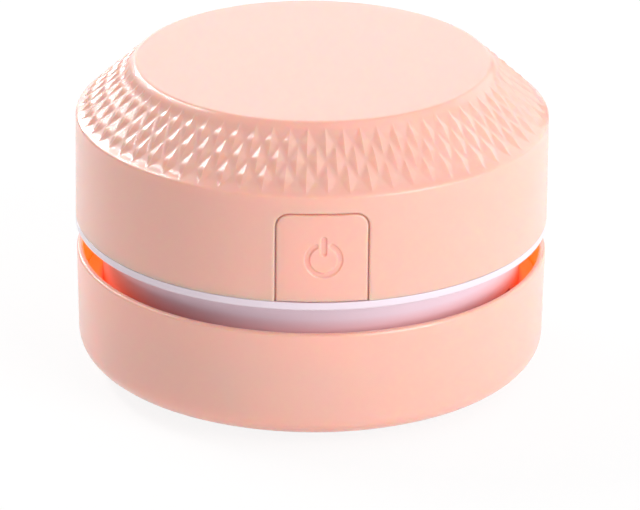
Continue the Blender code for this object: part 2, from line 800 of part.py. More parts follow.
def make_lead(name, side, finish):
    """A short insulated lead from a terminal's face to the board's underside."""
    start = side * (TERMINAL_RING_R + TERMINAL_T / 2 + SEAT_GAP)
    end = side * (TERMINAL_RING_R + LEAD_REACH)
    low = cap_top_z + LEAD_R + SEAT_GAP
    high = board_z - SEAT_GAP
    curve = bpy.data.curves.new(name, "CURVE")
    curve.dimensions = "3D"
    curve.bevel_depth = LEAD_R
    curve.bevel_resolution = 1
    curve.use_fill_caps = True
    spline = curve.splines.new("POLY")
    turn = high - low
    path = [(start, low)]
    for step in range(ARC_STEPS + 1):
        angle = math.pi / 2 * step / ARC_STEPS
        path.append((end - side * turn * (1 - math.sin(angle)), high - turn * math.cos(angle)))
    spline.points.add(len(path) - 1)
    for point, (x, z) in zip(spline.points, path):
        point.co = (x, 0, z, 1)
    curve.materials.append(finish)
    lead = bpy.data.objects.new(name, curve)
    bpy.context.scene.collection.objects.link(lead)
    carry(lead, head)


def screw(name, centre, head_z, head_r, head_h, shank_r, length, finish):
    """A pan-head screw driven upwards: the head's outer face is at head_z."""
    profile = rounded(
        [
            (0, head_z, 0),
            (head_r, head_z, head_h / 2),
            (head_r, head_z + head_h, 0),
            (shank_r, head_z + head_h, 0),
            (shank_r, head_z + head_h + length, 0),
            (0, head_z + head_h + length, 0),
        ],
    )
    bm = revolved(profile, TINY_STEPS)
    bmesh.ops.translate(bm, verts=bm.verts, vec=(*centre, 0))
    placed(name, bm, finish, head)


def board_screw_places():
    return [(x * board_screw_x, y * board_screw_y) for y in (-1, 1) for x in (-1, 1)]


def make_screws(steel):
    seat = flange_z + SCREW_SEAT - SCREW_HEAD_H - SEAT_GAP
    length = boss_z + SCREW_BITE - seat - SCREW_HEAD_H
    for index, place in enumerate(post_places(), 1):
        screw(f"housing_screw_{index}", place, seat, SCREW_HEAD_R, SCREW_HEAD_H, SCREW_R, length, steel)
    seat = board_z - SEAT_GAP - BOARD_SCREW_HEAD_H
    length = BOARD_T + BOARD_SCREW_BITE
    for index, place in enumerate(board_screw_places(), 1):
        screw(
            f"board_screw_{index}",
            place,
            seat,
            BOARD_SCREW_HEAD_R,
            BOARD_SCREW_HEAD_H,
            BOARD_SCREW_R,
            length,
            steel,
        )
    length = PLATE_T - MOTOR_SCREW_HEAD_H + MOTOR_SCREW_L - SEAT_GAP
    for index, side in enumerate((1, -1), 1):
        screw(
            f"motor_screw_{index}",
            (side * MOTOR_SCREW_RING_R, 0),
            plate_z,
            MOTOR_SCREW_HEAD_R,
            MOTOR_SCREW_HEAD_H,
            MOTOR_SCREW_R,
            length,
            steel,
        )


def make_board(finish):
    """The board: a rounded rectangle with a tongue to the switch and one to the socket."""
    front = switch_y + SEAT_GAP
    back = socket_y - OVERRUN
    corners = [
        (board_half_w, -board_half_l),
        (board_half_w, board_half_l),
        (BOARD_TONGUE_HALF_W, board_half_l),
        (BOARD_TONGUE_HALF_W, back),
    ]
    right = [(BOARD_TONGUE_HALF_W, front), (BOARD_TONGUE_HALF_W, -board_half_l), *corners]
    outline = right + [(-x, y) for x, y in reversed(right)]
    shaped = rounded([(x, y, BOARD_ROUND / 2) for x, y in outline])
    board = placed("circuit_board", prism(shaped, board_z, board_top_z), finish, head)
    holes = [
        disc(BOARD_SCREW_R + SEAT_GAP, board_z - OVERRUN, board_top_z + OVERRUN, TINY_STEPS, place)
        for place in board_screw_places()
    ]
    combine(board, gathered(holes), "DIFFERENCE")


def make_cell(foam, foil):
    pad = rectangle(board_half_w - PAD_INSET, cell_half_l - PAD_INSET, CELL_ROUND)
    placed("battery_pad", prism(pad, pad_z, pad_z + PAD_T), foam, head)
    outline = rectangle(board_half_w, CELL_H / 2, CELL_ROUND)
    cell = prism(outline, -cell_half_l, cell_half_l, along_y(z=cell_z + CELL_H / 2))
    placed("battery_cell", facing(cell), foil, head)


def make_socket(steel, nylon):
    """A charging socket: its metal shell and the tongue inside."""
    shape = rectangle(USB_W / 2, USB_H / 2, USB_H / 2 - EDGE_ROUND, (0, usb_z))
    shell = placed("usb_shell", facing(prism(shape, socket_y - USB_L, socket_y, along_y())), steel, head)
    half_x, half_z = USB_W / 2 - USB_WALL, USB_H / 2 - USB_WALL
    inner = rectangle(half_x, half_z, half_z - EDGE_ROUND, (0, usb_z))
    hollow = prism(inner, socket_y - USB_L + USB_BACK, socket_y + OVERRUN, along_y())
    combine(shell, facing(hollow), "DIFFERENCE")
    tongue = rectangle(TONGUE_W / 2, TONGUE_T / 2, 0.0, (0, usb_z))
    start = socket_y - USB_L + USB_BACK + SEAT_GAP
    placed("usb_tongue", facing(prism(tongue, start, start + TONGUE_L, along_y())), nylon, head)


def make_switch(nylon):
    shape = rectangle(SWITCH_W / 2, SWITCH_H / 2, EDGE_ROUND, (0, switch_z))
    body = prism(shape, switch_y, switch_y + SWITCH_L, along_y())
    switch = placed("tact_switch", facing(body), nylon, head)
    bore = disc(PLUNGER_R + SEAT_GAP, -OVERRUN, SWITCH_BORE_DEEP, TINY_STEPS)
    bmesh.ops.transform(bore, matrix=along_y(y=switch_y, z=switch_z), verts=bore.verts)
    combine(switch, facing(bore), "DIFFERENCE")


def skirt_wedge(outer_gap, inner, high):
    """A wedge of the skirt's own wall, facet for facet, to cut the button from."""
    turn = knurl_step * BUTTON_WEDGE_STEPS
    low = skirt_z - OVERRUN
    profile = [
        (side_radius(low) - outer_gap, low),
        (side_radius(high) - outer_gap, high),
        (inner, high),
        (inner, low),
    ]
    return revolved(profile, BUTTON_WEDGE_STEPS, start=-turn / 2, turn=turn)


def make_button(finish, nylon):
    """The button: a piece of the skirt's face, a lip that keeps it behind the wall, and a stem."""
    high = button_top_z + LIP_W + OVERRUN
    inner = lip_front - SINK
    low = skirt_z + SEAM / 2
    centre = (0, -SKIRT_R, switch_z)
    button = placed("power_button", skirt_wedge(0.0, inner, high), finish, press, centre)
    face = prism(button_outline(0.0, 0.0, low), -SKIRT_R - OVERRUN, 0.0, along_y())
    combine(button, facing(face), "INTERSECT")
    outline = button_outline(LIP_W, LIP_W, low)
    lip = prism(outline, -lip_front, -lip_front + LIP_T, along_y())
    combine(button, facing(lip), "UNION")
    stem = disc(STEM_R, -lip_front + LIP_T - SINK, -stem_end, SMALL_STEPS)
    bmesh.ops.transform(stem, matrix=along_y(z=switch_z), verts=stem.verts)
    combine(button, facing(stem), "UNION")
    plunger = disc(PLUNGER_R, switch_y - plunger_proud, switch_y - plunger_proud + PLUNGER_L, TINY_STEPS)
    bmesh.ops.transform(plunger, matrix=along_y(z=switch_z), verts=plunger.verts)
    placed("switch_plunger", facing(plunger), nylon, press, centre)


def blade(index):
    """One backward-curved blade, swept back by a share of the sweep that grows with its radius."""
    spine = []
    for step in range(BLADE_STEPS + 1):
        along = step / BLADE_STEPS
        radius = BLADE_INNER_R + (impeller_r - BLADE_T / 2 - BLADE_INNER_R) * along
        spine.append(polar(radius, 2 * math.pi * index / BLADES - BLADE_SWEEP * along).xy)
    sides = ([], [])
    for step, point in enumerate(spine):
        ahead = spine[min(step + 1, len(spine) - 1)] - spine[max(step - 1, 0)]
        across = Vector((-ahead.y, ahead.x)).normalized() * BLADE_T / 2
        sides[0].append(tuple(point + across))
        sides[1].append(tuple(point - across))
    return prism(sides[0] + sides[1][::-1], fan_z, backplate_z + SINK)


def make_rotor(nylon, steel):
    hub_z = fan_z + BLADE_H / 4
    bore = SHAFT_R + RUN_GAP
    profile = rounded(
        [
            (bore, hub_z, 0),
            (HUB_R, hub_z, EDGE_ROUND),
            (HUB_R, backplate_z, 0),
            (impeller_r, backplate_z, 0),
            (impeller_r, backplate_z + BACKPLATE_T, 0),
            (bore, backplate_z + BACKPLATE_T, 0),
        ],
    )
    impeller = placed("impeller", revolved(profile, FAN_STEPS), nylon, spin)
    combine(impeller, gathered([blade(index) for index in range(BLADES)]), "UNION")
    top = cap_top_z + SHAFT_PROUD
    placed("motor_shaft", disc(SHAFT_R, hub_z, top, SMALL_STEPS), steel, spin)


def make_filter(finish, mesh_finish, foam):
    """Frame with its rim, spokes and pull tab, the moulded screen on the spokes and the foam pad above."""
    outer = well_r - FILTER_GAP
    low = filter_z
    top = fan_floor_z - SEAT_GAP
    inner = outer - FILTER_WALL
    spoke_top = low + FILTER_RIM_T
    profile = rounded(
        [
            (inner, low, 0),
            (outer + FILTER_RIM_W, low, EDGE_ROUND),
            (outer + FILTER_RIM_W, spoke_top, EDGE_ROUND),
            (outer, spoke_top, 0),
            (outer, top, EDGE_ROUND),
            (inner, top, 0),
        ],
    )
    frame = placed("filter_frame", revolved(profile, FAN_STEPS), finish, lift)
    outline = []
    half = math.asin(FILTER_SPOKE_W / 2 / FILTER_HUB_R)
    reach = inner + SINK
    tip = math.asin(FILTER_SPOKE_W / 2 / reach)
    for spoke in range(FILTER_SPOKES):
        angle = 2 * math.pi * spoke / FILTER_SPOKES
        for radius, offset in ((FILTER_HUB_R, -half), (reach, -tip), (reach, tip), (FILTER_HUB_R, half)):
            outline.append(tuple(polar(radius, angle + offset).xy))
    combine(frame, prism(outline, low, spoke_top), "UNION")
    tab = rectangle(FILTER_TAB_T / 2, FILTER_TAB_L / 2, 0.0, (0, FILTER_TAB_L - inner))
    combine(frame, prism(tab, low - FILTER_TAB_H, low + FILTER_RIM_T / 2), "UNION")
    screen_z = spoke_top + SEAT_GAP
    placed("filter_screen", screen(inner - SEAT_GAP, screen_z), mesh_finish, lift)
    pad_low = screen_z + SCREEN_T + SEAT_GAP
    pad = disc(inner - SEAT_GAP, pad_low, pad_low + FILTER_PAD_T, FAN_STEPS)
    placed("filter_pad", pad, foam, lift)


def screen(radius, low):
    """A flat moulded screen: rings and spokes left between wedge-shaped gaps."""
    bm = bmesh.new()
    hub = radius / (2 * SCREEN_RINGS + 1)
    pitch = (radius - hub) / SCREEN_RINGS
    bar = pitch * SCREEN_BAR_share
    radii = [hub]
    for ring in range(SCREEN_RINGS):
        radii += [hub + ring * pitch + bar, hub + (ring + 1) * pitch]
    radii[-1] -= bar
    radii.append(radius)
    step = 2 * math.pi / SCREEN_SPOKES
    angles = []
    for spoke in range(SCREEN_SPOKES):
        angles += [spoke * step, (spoke + SCREEN_BAR_share) * step]
    grid = [[bm.verts.new(polar(r, angle, low)) for angle in angles] for r in radii]
    faces = [bm.faces.new(grid[0])]
    for ring in range(len(radii) - 1):
        for k in range(len(angles)):
            gap_ring = ring % 2 == 1 and ring < len(radii) - 2
            if gap_ring and k % 2 == 0:
                continue
            inside, outside = grid[ring], grid[ring + 1]
            faces.append(bm.faces.new((inside[k - 1], outside[k - 1], outside[k], inside[k])))
    raised = bmesh.ops.extrude_face_region(bm, geom=faces)["geom"]
    tops = [item for item in raised if isinstance(item, bmesh.types.BMVert)]
    bmesh.ops.translate(bm, verts=tops, vec=(0, 0, SCREEN_T))
    bmesh.ops.recalc_face_normals(bm, faces=bm.faces)
    return bm


def make_cup(finish):
    """The dust cup, turned as one: inlet chimney, brush channel, floor, wall and rounded rim."""
    channel_in = BRUSH_R - BRUSH_W / 2 - SEAT_GAP
    channel_out = BRUSH_R + BRUSH_W / 2 + SEAT_GAP
    roof = channel_z + BRUSH_WALL
    inner_foot = cup_foot_r - CUP_WALL
    inner_rim = cup_rim_r - CUP_WALL
    profile = rounded(
        [
            (INLET_R, cup_z, 0),
            (channel_in, cup_z, 0),
            (channel_in, channel_z, 0),
            (channel_out, channel_z, 0),
            (channel_out, cup_z, 0),
            (cup_foot_r, cup_z, CUP_ROUND),
            (cup_rim_r, rim_z, RIM_ROUND),
            (inner_rim, rim_z, 0),
            (inner_foot, floor_z, CUP_ROUND - CUP_WALL),
            (channel_out + BRUSH_WALL, floor_z, 0),
            (channel_out + BRUSH_WALL, roof, 0),
            (channel_in - BRUSH_WALL, roof, 0),
            (channel_in - BRUSH_WALL, floor_z, 0),
            (INLET_R + INLET_WALL, floor_z, 0),
            (INLET_R + INLET_WALL, chimney_z, EDGE_ROUND),
            (INLET_R, chimney_z, 0),
        ]
    )
    cup = placed("dust_cup", revolved(profile, ROUND_STEPS), finish)
    rib = [
        (-STOP_RIB_W / 2, -inner_foot - SINK),
        (STOP_RIB_W / 2, -inner_foot - SINK),
        (STOP_RIB_W / 2, -inner_foot + STOP_RIB_DEEP),
        (-STOP_RIB_W / 2, -inner_foot + STOP_RIB_DEEP),
    ]
    ribs = [
        turned(rib, floor_z - SINK, flange_z - SEAT_GAP, STOP_RIB_START + 2 * math.pi * index / STOP_RIBS)
        for index in range(STOP_RIBS)
    ]
    combine(cup, gathered(ribs), "UNION")
    low, high = cup_z - OVERRUN, cup_z + FOOT_LET_IN
    seats = [disc(FOOT_R + SEAT_GAP, low, high, SMALL_STEPS, place) for place in foot_places()]
    combine(cup, gathered(seats), "DIFFERENCE")


def foot_places():
    return [polar(foot_ring_r, math.pi / FEET + 2 * math.pi * index / FEET).xy for index in range(FEET)]


def make_feet(finish):
    top = cup_z + FOOT_LET_IN - SEAT_GAP
    for index, (x, y) in enumerate(foot_places(), 1):
        profile = rounded(
            [(0, 0, 0), (FOOT_R, 0, EDGE_ROUND), (FOOT_R, top, 0), (0, top, 0)], closed=False
        )
        bm = revolved(profile, SMALL_STEPS)
        bmesh.ops.translate(bm, verts=bm.verts, vec=(x, y, 0))
        placed(f"glide_foot_{index}", bm, finish)


def make_brushes(finish):
    """Four arcs of bristle round the inlet: a slice of backing in the channel and the bristle below it."""
    roof = channel_z - SEAT_GAP
    low = roof - BRUSH_BACKING
    profile = [
        (BRUSH_R - BRISTLE_W / 2, BRISTLE_CLEAR),
        (BRUSH_R + BRISTLE_W / 2, BRISTLE_CLEAR),
        (BRUSH_R + BRISTLE_W / 2, low),
        (BRUSH_R + BRUSH_W / 2, low),
        (BRUSH_R + BRUSH_W / 2, roof),
        (BRUSH_R - BRUSH_W / 2, roof),
        (BRUSH_R - BRUSH_W / 2, low),
        (BRUSH_R - BRISTLE_W / 2, low),
    ]
    for strip in range(BRUSH_STRIPS):
        start = 2 * math.pi * strip / BRUSH_STRIPS - BRUSH_ARC / 2
        placed(f"brush_strip_{strip + 1}", revolved(profile, BRUSH_STEPS, start, BRUSH_ARC), finish)


for item in list(bpy.data.objects):
    bpy.data.objects.remove(item)

pink = material("pink gloss plastic", (250, 199, 182), 0.28)
white = material("white trim plastic", (241, 228, 236), 0.3)
grey_plastic = material("grey moulded plastic", (176, 172, 176), 0.45)
nylon_white = material("white nylon", (232, 230, 226), 0.5)
nylon_black = material("black nylon", (34, 34, 36), 0.5)
rubber = material("soft rubber", (120, 112, 112), 0.8)
steel = material("plated steel", (190, 192, 196), 0.3, 1.0)
bronze = material("bronze", (176, 132, 84), 0.35, 1.0)
board_green = material("board green", (26, 96, 62), 0.4)
foil = material("cell foil", (198, 200, 206), 0.35, 0.6)
foam = material("open foam", (78, 80, 84), 0.95)
red_lead = material("red lead", (186, 32, 30), 0.5)
black_lead = material("black lead", (28, 28, 30), 0.5)
bristle = material("bristle nylon", (236, 226, 222), 0.6)

lift = pivot("filter_lift", (0, 0, 0))
head = pivot("head_lift", (0, 0, 0), lift)
press = pivot("button_press", (0, -SKIRT_R, switch_z), head)
spin = pivot("rotor_spin", (0, 0, 0), head)

make_cup(pink)
make_brushes(bristle)
make_feet(rubber)
make_filter(grey_plastic, nylon_white, foam)
make_housing(pink)
make_trim_ring(white)
make_chassis(white)
make_seal(rubber)
make_motor_plate(nylon_white)
make_motor(steel, nylon_black, bronze)
make_lead("motor_lead_1", 1, red_lead)
make_lead("motor_lead_2", -1, black_lead)
make_screws(steel)
make_board(board_green)
make_cell(foam, foil)
make_socket(steel, nylon_black)
make_switch(nylon_black)
make_button(pink, nylon_black)
make_rotor(nylon_black, steel)
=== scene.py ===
import bpy
import numpy as np
from mathutils import Matrix, Vector


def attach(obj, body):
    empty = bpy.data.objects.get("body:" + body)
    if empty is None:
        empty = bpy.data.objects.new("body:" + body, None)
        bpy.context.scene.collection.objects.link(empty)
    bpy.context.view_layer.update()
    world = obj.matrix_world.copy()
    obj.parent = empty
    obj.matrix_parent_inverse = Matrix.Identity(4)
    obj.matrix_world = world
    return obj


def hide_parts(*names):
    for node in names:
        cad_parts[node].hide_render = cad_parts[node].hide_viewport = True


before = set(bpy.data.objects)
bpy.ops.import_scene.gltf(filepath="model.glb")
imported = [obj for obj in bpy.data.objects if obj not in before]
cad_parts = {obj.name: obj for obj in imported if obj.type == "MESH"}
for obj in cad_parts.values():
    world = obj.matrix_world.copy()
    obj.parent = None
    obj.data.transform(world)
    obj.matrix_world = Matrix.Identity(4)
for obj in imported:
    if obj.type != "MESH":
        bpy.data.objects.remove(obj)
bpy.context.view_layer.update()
print("frame loaded")

mm = 0.001  # every length below is in millimetres
overlap = 0.4  # how far the shapes of one piece run into each other

# Sizes that several pieces share
body = {
    "skirtR": 43.4, "shoulderR": 43.15, "crownR": 32.2,
    "skirtZ": 29.2, "shoulderZ": 48.75, "crownZ": 58.7,
    "ringZ": 27.7, "cupZ": 2.5, "cupFloorZ": 4.3, "rimZ": 23.0,
    "flangeZ": 13.8, "flangeTopZ": 16.2, "neckTopZ": 27.4,
    "wellR": 22.0, "postRingR": 29.0, "postAngle": np.radians(40),
    "buttonTop": 45.5, "buttonHalf": 8.0, "buttonRound": 2.3, "buttonGap": 0.27,
    "socketZ": 40.1,
}


# Geometry

def around(r, angle, z):
    # A point at radius r, turned from the button's side towards +X: x is r sin, y is minus r cos.
    r, angle, z = np.broadcast_arrays(r, angle, z)
    return np.stack([r * np.sin(angle), -r * np.cos(angle), z], -1)


def fullTurn(steps):
    return np.linspace(0, 2 * np.pi, steps, endpoint=False)


def smooth(share):
    # A step from 0 to 1 that starts and ends level.
    return share * share * (3 - 2 * share)


def withinHalfTurn(angle, turn=360):
    # The same angle, brought to within half a turn of 0.
    return (angle + turn / 2) % turn - turn / 2


def windingArea(x, y):
    # Twice the area inside a flat outline, above 0 when it runs anticlockwise.
    return np.sum(x * np.roll(y, -1) - np.roll(x, -1) * y)


def gridIndex(rows, columns):
    return np.arange(rows * columns).reshape(rows, columns)


def gridQuads(index, keep=None):
    # Four neighbours make a face, going down the rows and then along the columns, so a surface whose rows
    # run down its outside faces outwards. In a stack of grids each grid is joined by itself.
    corners = [index[..., :-1, :-1], index[..., 1:, :-1], index[..., 1:, 1:], index[..., :-1, 1:]]
    quads = np.stack(corners, -1)
    return quads.reshape(-1, 4) if keep is None else quads[keep]


def closedColumns(index):
    return np.concatenate([index, index[..., :1]], -1)


def closedRows(index):
    return np.concatenate([index, index[:1]])


def poleTris(row, pole, above):
    # A fan between a row of points and the point on the axis.
    a, b = row[:-1], row[1:]
    p = np.full_like(a, pole)
    return np.stack([p, a, b] if above else [p, b, a], -1)


def stripQuads(outer, inner):
    # The wall of an opening: a loop of the outer face joined to the same loop of the inner face.
    return np.stack([outer[:-1], outer[1:], inner[1:], inner[:-1]], -1)


def blockRound(top, bottom, left, right):
    # The rows and columns round a rectangular block of the grid, in the order of its own faces.
    tall, wide = bottom - top, right - left
    rows = [np.arange(top, bottom), np.full(wide, bottom), np.arange(bottom, top, -1), np.full(wide, top)]
    columns = [np.full(tall, left), np.arange(left, right), np.full(tall, right), np.arange(right, left, -1)]
    return np.concatenate([*rows, [top]]), np.concatenate([*columns, [left]])


def roundedLine(corners, steps=6, closed=True):
    # Corners (a, b, radius) joined by straight lines, each corner swapped for an arc that touches both.
    points = []
    flat = [np.array(c[:2], float) for c in corners]
    for i, (a, b, radius) in enumerate(corners):
        if radius == 0 or (not closed and i in (0, len(corners) - 1)):
            points.append([[a, b]])
            continue
        back = flat[i - 1] - flat[i]
        ahead = flat[(i + 1) % len(flat)] - flat[i]
        back, ahead = back / np.hypot(*back), ahead / np.hypot(*ahead)
        half = np.arccos(np.clip(back @ ahead, -1, 1)) / 2
        reach = radius / np.tan(half)
        centre = flat[i] + (back + ahead) / np.hypot(*(back + ahead)) * radius / np.sin(half)
        first, final = flat[i] + back * reach - centre, flat[i] + ahead * reach - centre
        start = np.arctan2(first[1], first[0])
        turn = withinHalfTurn(np.arctan2(final[1], final[0]) - start, 2 * np.pi)
        angle = start + turn * np.linspace(0, 1, steps + 1)
        points.append(centre + radius * np.stack([np.cos(angle), np.sin(angle)], -1))
    return np.concatenate(points)


def turned(profile, columns):
    # A closed (radius, height) outline, given in either direction, carried round the upright axis.
    r, z = profile[:, 0], profile[:, 1]
    if windingArea(r, z) > 0:
        r, z = r[::-1], z[::-1]
    points = around(r[:, None], fullTurn(columns), z[:, None]).reshape(-1, 3)
    index = closedColumns(gridIndex(len(r), columns))
    return points, [gridQuads(closedRows(index))]


def fanned(grid, top, bottom):
    # A grid of rings closed by a fan to a point on the axis at each end.
    index = closedColumns(gridIndex(*grid.shape[:2]))
    n = grid.size // 3
    points = np.vstack([grid.reshape(-1, 3), [[0, 0, top], [0, 0, bottom]]])
    return points, [gridQuads(index), poleTris(index[0], n, True), poleTris(index[-1], n + 1, False)]


def capped(profile, columns, centre=(0, 0)):
    # An open (radius, height) line from the axis, down its outside and back to the axis, turned and closed.
    r, z = profile[1:-1, :1], profile[1:-1, 1:]
    return moved(fanned(around(r, fullTurn(columns), z), profile[0, 1], profile[-1, 1]), *centre)


def carried(outline, line):
    # A line of (inset, height) pairs carried round a flat outline, stepped in along the outline's normals,
    # and a flat face over each end.
    if windingArea(*outline.T) < 0:
        outline = outline[::-1]
    ahead = np.roll(outline, -1, 0) - outline
    side = np.stack([ahead[:, 1], -ahead[:, 0]], -1) / np.hypot(*ahead.T)[:, None]
    side = side + np.roll(side, 1, 0)
    side = side / np.maximum(np.sum(side * side, -1, keepdims=True) / 2, 0.5)
    inset, height = np.array(line, float).T
    flat = outline[None] - side[None] * inset[:, None, None]
    points = np.concatenate([flat, np.repeat(height[:, None, None], len(outline), 1)], -1)
    index = closedColumns(gridIndex(len(inset), len(outline)))
    return points.reshape(-1, 3), [gridQuads(index), index[0, :-1][None], index[-1, :-1][::-1][None]]


def prism(outline, low, high, edge):
    # A flat outline raised from low to high, its two rims rounded in three steps.
    turn = np.linspace(0, np.pi / 2, 4)
    inset, drop = edge * (1 - np.sin(turn)), edge * (1 - np.cos(turn))
    line = np.concatenate([np.stack([inset, high - drop], -1), np.stack([inset, low + drop], -1)[::-1]])
    return carried(outline, line)


def circle(radius, steps):
    return around(radius, fullTurn(steps), 0.0)[:, :2]


def rectangle(left, right, low, high, radii, steps=6):
    # The corners in turn from the lower left, with one radius for all of them or one for each.
    corners = zip((left, right, right, left), (low, low, high, high), np.broadcast_to(radii, 4))
    return roundedLine([*corners], steps)


def roundedBox(halfX, halfY, radius, steps, y=0.0):
    return rectangle(-halfX, halfX, y - halfY, y + halfY, radius, steps)


def star(spokes, hubR, width, reach):
    # Spokes of one width that meet at a solid middle: four points for each, two at the hub, two at the tip.
    angle = 2 * np.pi * np.arange(spokes)[:, None] / spokes
    hub, tip = np.arcsin(width / 2 / hubR), np.arcsin(width / 2 / reach)
    turn = angle + np.array([[-hub, -tip, tip, hub]])
    return around(np.array([[hubR, reach, reach, hubR]]), turn, 0.0)[..., :2].reshape(-1, 2)


def swung(shape, angle):
    # The shape turned about the upright axis.
    points, faces = shape
    c, s = np.cos(angle), np.sin(angle)
    return points @ np.array([[c, s, 0], [-s, c, 0], [0, 0, 1]]), faces


def laid(shape, y=0.0, z=0.0):
    # The shape laid on its side: its heights run back along +Y, and its flat y becomes height.
    points, faces = shape
    points = np.stack([points[:, 0], points[:, 2] + y, points[:, 1] + z], -1)
    return points, [f[:, ::-1] for f in faces]


def moved(shape, x, y):
    return shape[0] + np.array([x, y, 0]), shape[1]


def joined(shapes):
    points, faces, count = [], [], 0
    for shapePoints, shapeFaces in shapes:
        points.append(shapePoints)
        faces += [f + count for f in shapeFaces]
        count += len(shapePoints)
    return np.vstack(points), faces


def box(x0, x1, y0, y1, z0, z1, edge):
    return prism(rectangle(x0, x1, y0, y1, 0), z0, z1, edge)


def placed(name, data):
    # A new object in the scene.
    made = bpy.data.objects.new(name, data)
    bpy.context.scene.collection.objects.link(made)
    return made


def makePiece(name, shape, bodyName, finish, nodes, sharp=28):
    # The worked-out points and faces as an object that rides on its body in place of its CAD nodes.
    points, faces = shape
    loops = np.concatenate([f.ravel() for f in faces])
    sizes = np.concatenate([np.full(len(f), f.shape[1]) for f in faces])
    mesh = bpy.data.meshes.new(name)
    mesh.vertices.add(len(points))
    mesh.vertices.foreach_set("co", (points * mm).ravel())
    mesh.loops.add(len(loops))
    mesh.loops.foreach_set("vertex_index", loops.astype(np.int32))
    mesh.polygons.add(len(sizes))
    mesh.polygons.foreach_set("loop_start", np.concatenate([[0], np.cumsum(sizes)[:-1]]).astype(np.int32))
    mesh.update(calc_edges=True)
    mesh.validate()
    mesh.shade_smooth()
    mesh.set_sharp_from_angle(angle=np.radians(sharp))
    mesh.materials.append(finish)
    piece = placed(name, mesh)
    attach(piece, bodyName)
    if nodes:
        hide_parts(*nodes)
    print(name, len(points), "points")


# Materials

class Wire:  # a socket that sums can be written with
    def __init__(self, paint, socket):
        self.paint, self.socket = paint, socket

    def sum(self, kind, a, b):
        return self.paint.node("ShaderNodeMath", {"operation": kind}, {0: a, 1: b})

    def __add__(self, other):
        return self.sum("ADD", self, other)

    def __radd__(self, other):
        return self.sum("ADD", other, self)

    def __rsub__(self, other):
        return self.sum("SUBTRACT", other, self)

    def __mul__(self, other):
        return self.sum("MULTIPLY", self, other)

    def __lt__(self, other):
        return self.sum("LESS_THAN", self, other)


class Paint:  # a material and the one way its nodes are made
    def __init__(self, name, **constants):
        self.material = bpy.data.materials.new(name)
        self.material.use_nodes = True
        self.tree = self.material.node_tree
        self.shader = self.tree.nodes["Principled BSDF"]
        self.place = Wire(self, self.node("ShaderNodeTexCoord", out="Object").socket)
        self.feed(**constants)

    def node(self, kind, settings={}, values={}, out=0):
        made = self.tree.nodes.new(kind)
        for key, value in settings.items():
            setattr(made, key, value)
        for key, value in values.items():
            self.join(made.inputs[key], value)
        return Wire(self, made.outputs[out])

    def join(self, socket, value):
        if isinstance(value, Wire):
            self.tree.links.new(value.socket, socket)
        else:
            socket.default_value = value

    def feed(self, **values):
        for key, value in values.items():
            self.join(self.shader.inputs[key.replace("_", " ")], value)

    def noise(self, scale, detail, at=None, roughness=0.5):
        values = {"Vector": at or self.place, "Scale": scale, "Detail": detail, "Roughness": roughness}
        return self.node("ShaderNodeTexNoise", {}, values)

    def stretched(self, x, y, z):
        return self.node("ShaderNodeMapping", {}, {"Vector": self.place, "Scale": (x, y, z)})

    def coordinate(self, axis=2):
        return self.node("ShaderNodeSeparateXYZ", {}, {"Vector": self.place}, axis)

    def radius(self):
        # The distance from the body's upright axis.
        values = {"Vector": self.stretched(1, 1, 0)}
        return self.node("ShaderNodeVectorMath", {"operation": "LENGTH"}, values, "Value")

    def ramp(self, value, low, high):
        # The value's share of the way from low to high, held between 0 and 1.
        return self.node("ShaderNodeMapRange", {}, {"Value": value, "From Min": low, "From Max": high})

    def lengthRamp(self, value, low, high):
        return self.ramp(value, low * mm, high * mm)

    def blend(self, share, a, b):
        mixed = self.node("ShaderNodeMix", {"data_type": "RGBA"}, {}, 2)
        node = mixed.socket.node
        for at, value in ((0, share), (6, a), (7, b)):
            self.join(node.inputs[at], value)
        return mixed

    def shades(self, share, rgb, low, high):
        # A drift between two shades of one colour.
        return self.blend(share, linear(shade(rgb, low)), linear(shade(rgb, high)))

    def bump(self, height, strength, distance):
        values = {"Height": height, "Strength": strength, "Distance": distance * mm}
        self.feed(Normal=self.node("ShaderNodeBump", {}, values, "Normal"))


def linear(rgb):
    # An sRGB colour, 0 to 255, as the linear values that Blender takes.
    part = np.array(rgb, float) / 255
    return (*np.where(part <= 0.04045, part / 12.92, ((part + 0.055) / 1.055) ** 2.4), 1.0)


def shade(rgb, by):
    return tuple(np.clip(np.array(rgb, float) * by, 0, 255))


def mouldedPlastic(name, rgb, roughness, grain=0.002, cloud=0.004, glow=0.0, paintedLight=None, **constants):
    # Colour and polish that drift a little in soft clouds, a fine grain in the bump, light that soaks into
    # the plastic when glow is above 0, red the furthest. A painted light is a second colour painted into the
    # base colour for coloured light and shade, the colour of a painted glow for the light that comes through
    # the thin wall there, and the share of each over the piece.
    paint = Paint(name, Subsurface_Weight=glow, Subsurface_Radius=(1.0, 0.35, 0.15), **constants)
    paint.feed(Subsurface_Scale=3.0 * mm, Coat_Roughness=0.06)
    cloudy = paint.noise(40, 1)
    colour = paint.shades(cloudy, rgb, 1 - cloud, 1 + cloud)
    # painted light: a painted tint in the base colour and a painted glow in the emission
    if paintedLight:
        tint, light, tintShare, lightShare = paintedLight
        colour = paint.blend(tintShare(paint), colour, linear(tint))
        lit = paint.blend(lightShare(paint), (0, 0, 0, 1), linear(light))
        paint.feed(Emission_Color=lit, Emission_Strength=1.0)
    fine = paint.noise(1800, 2)
    paint.feed(Base_Color=colour, Roughness=roughness - 0.01 + cloudy * 0.02)
    paint.bump(fine, 0.1, grain)
    return paint.material


glowAt = {  # where light comes through
    "cupWall": (36, 40, 4.4, 9), "flange": (38.6, 39.4, 15.7, 16.1),  # two radii and two heights
    "cupOuterFace": (42.2, 42.6),  # two radii
    "upNeck": (16.8, 24),  # two heights
    "frontToSide": (-28, 0),  # two places along y
}


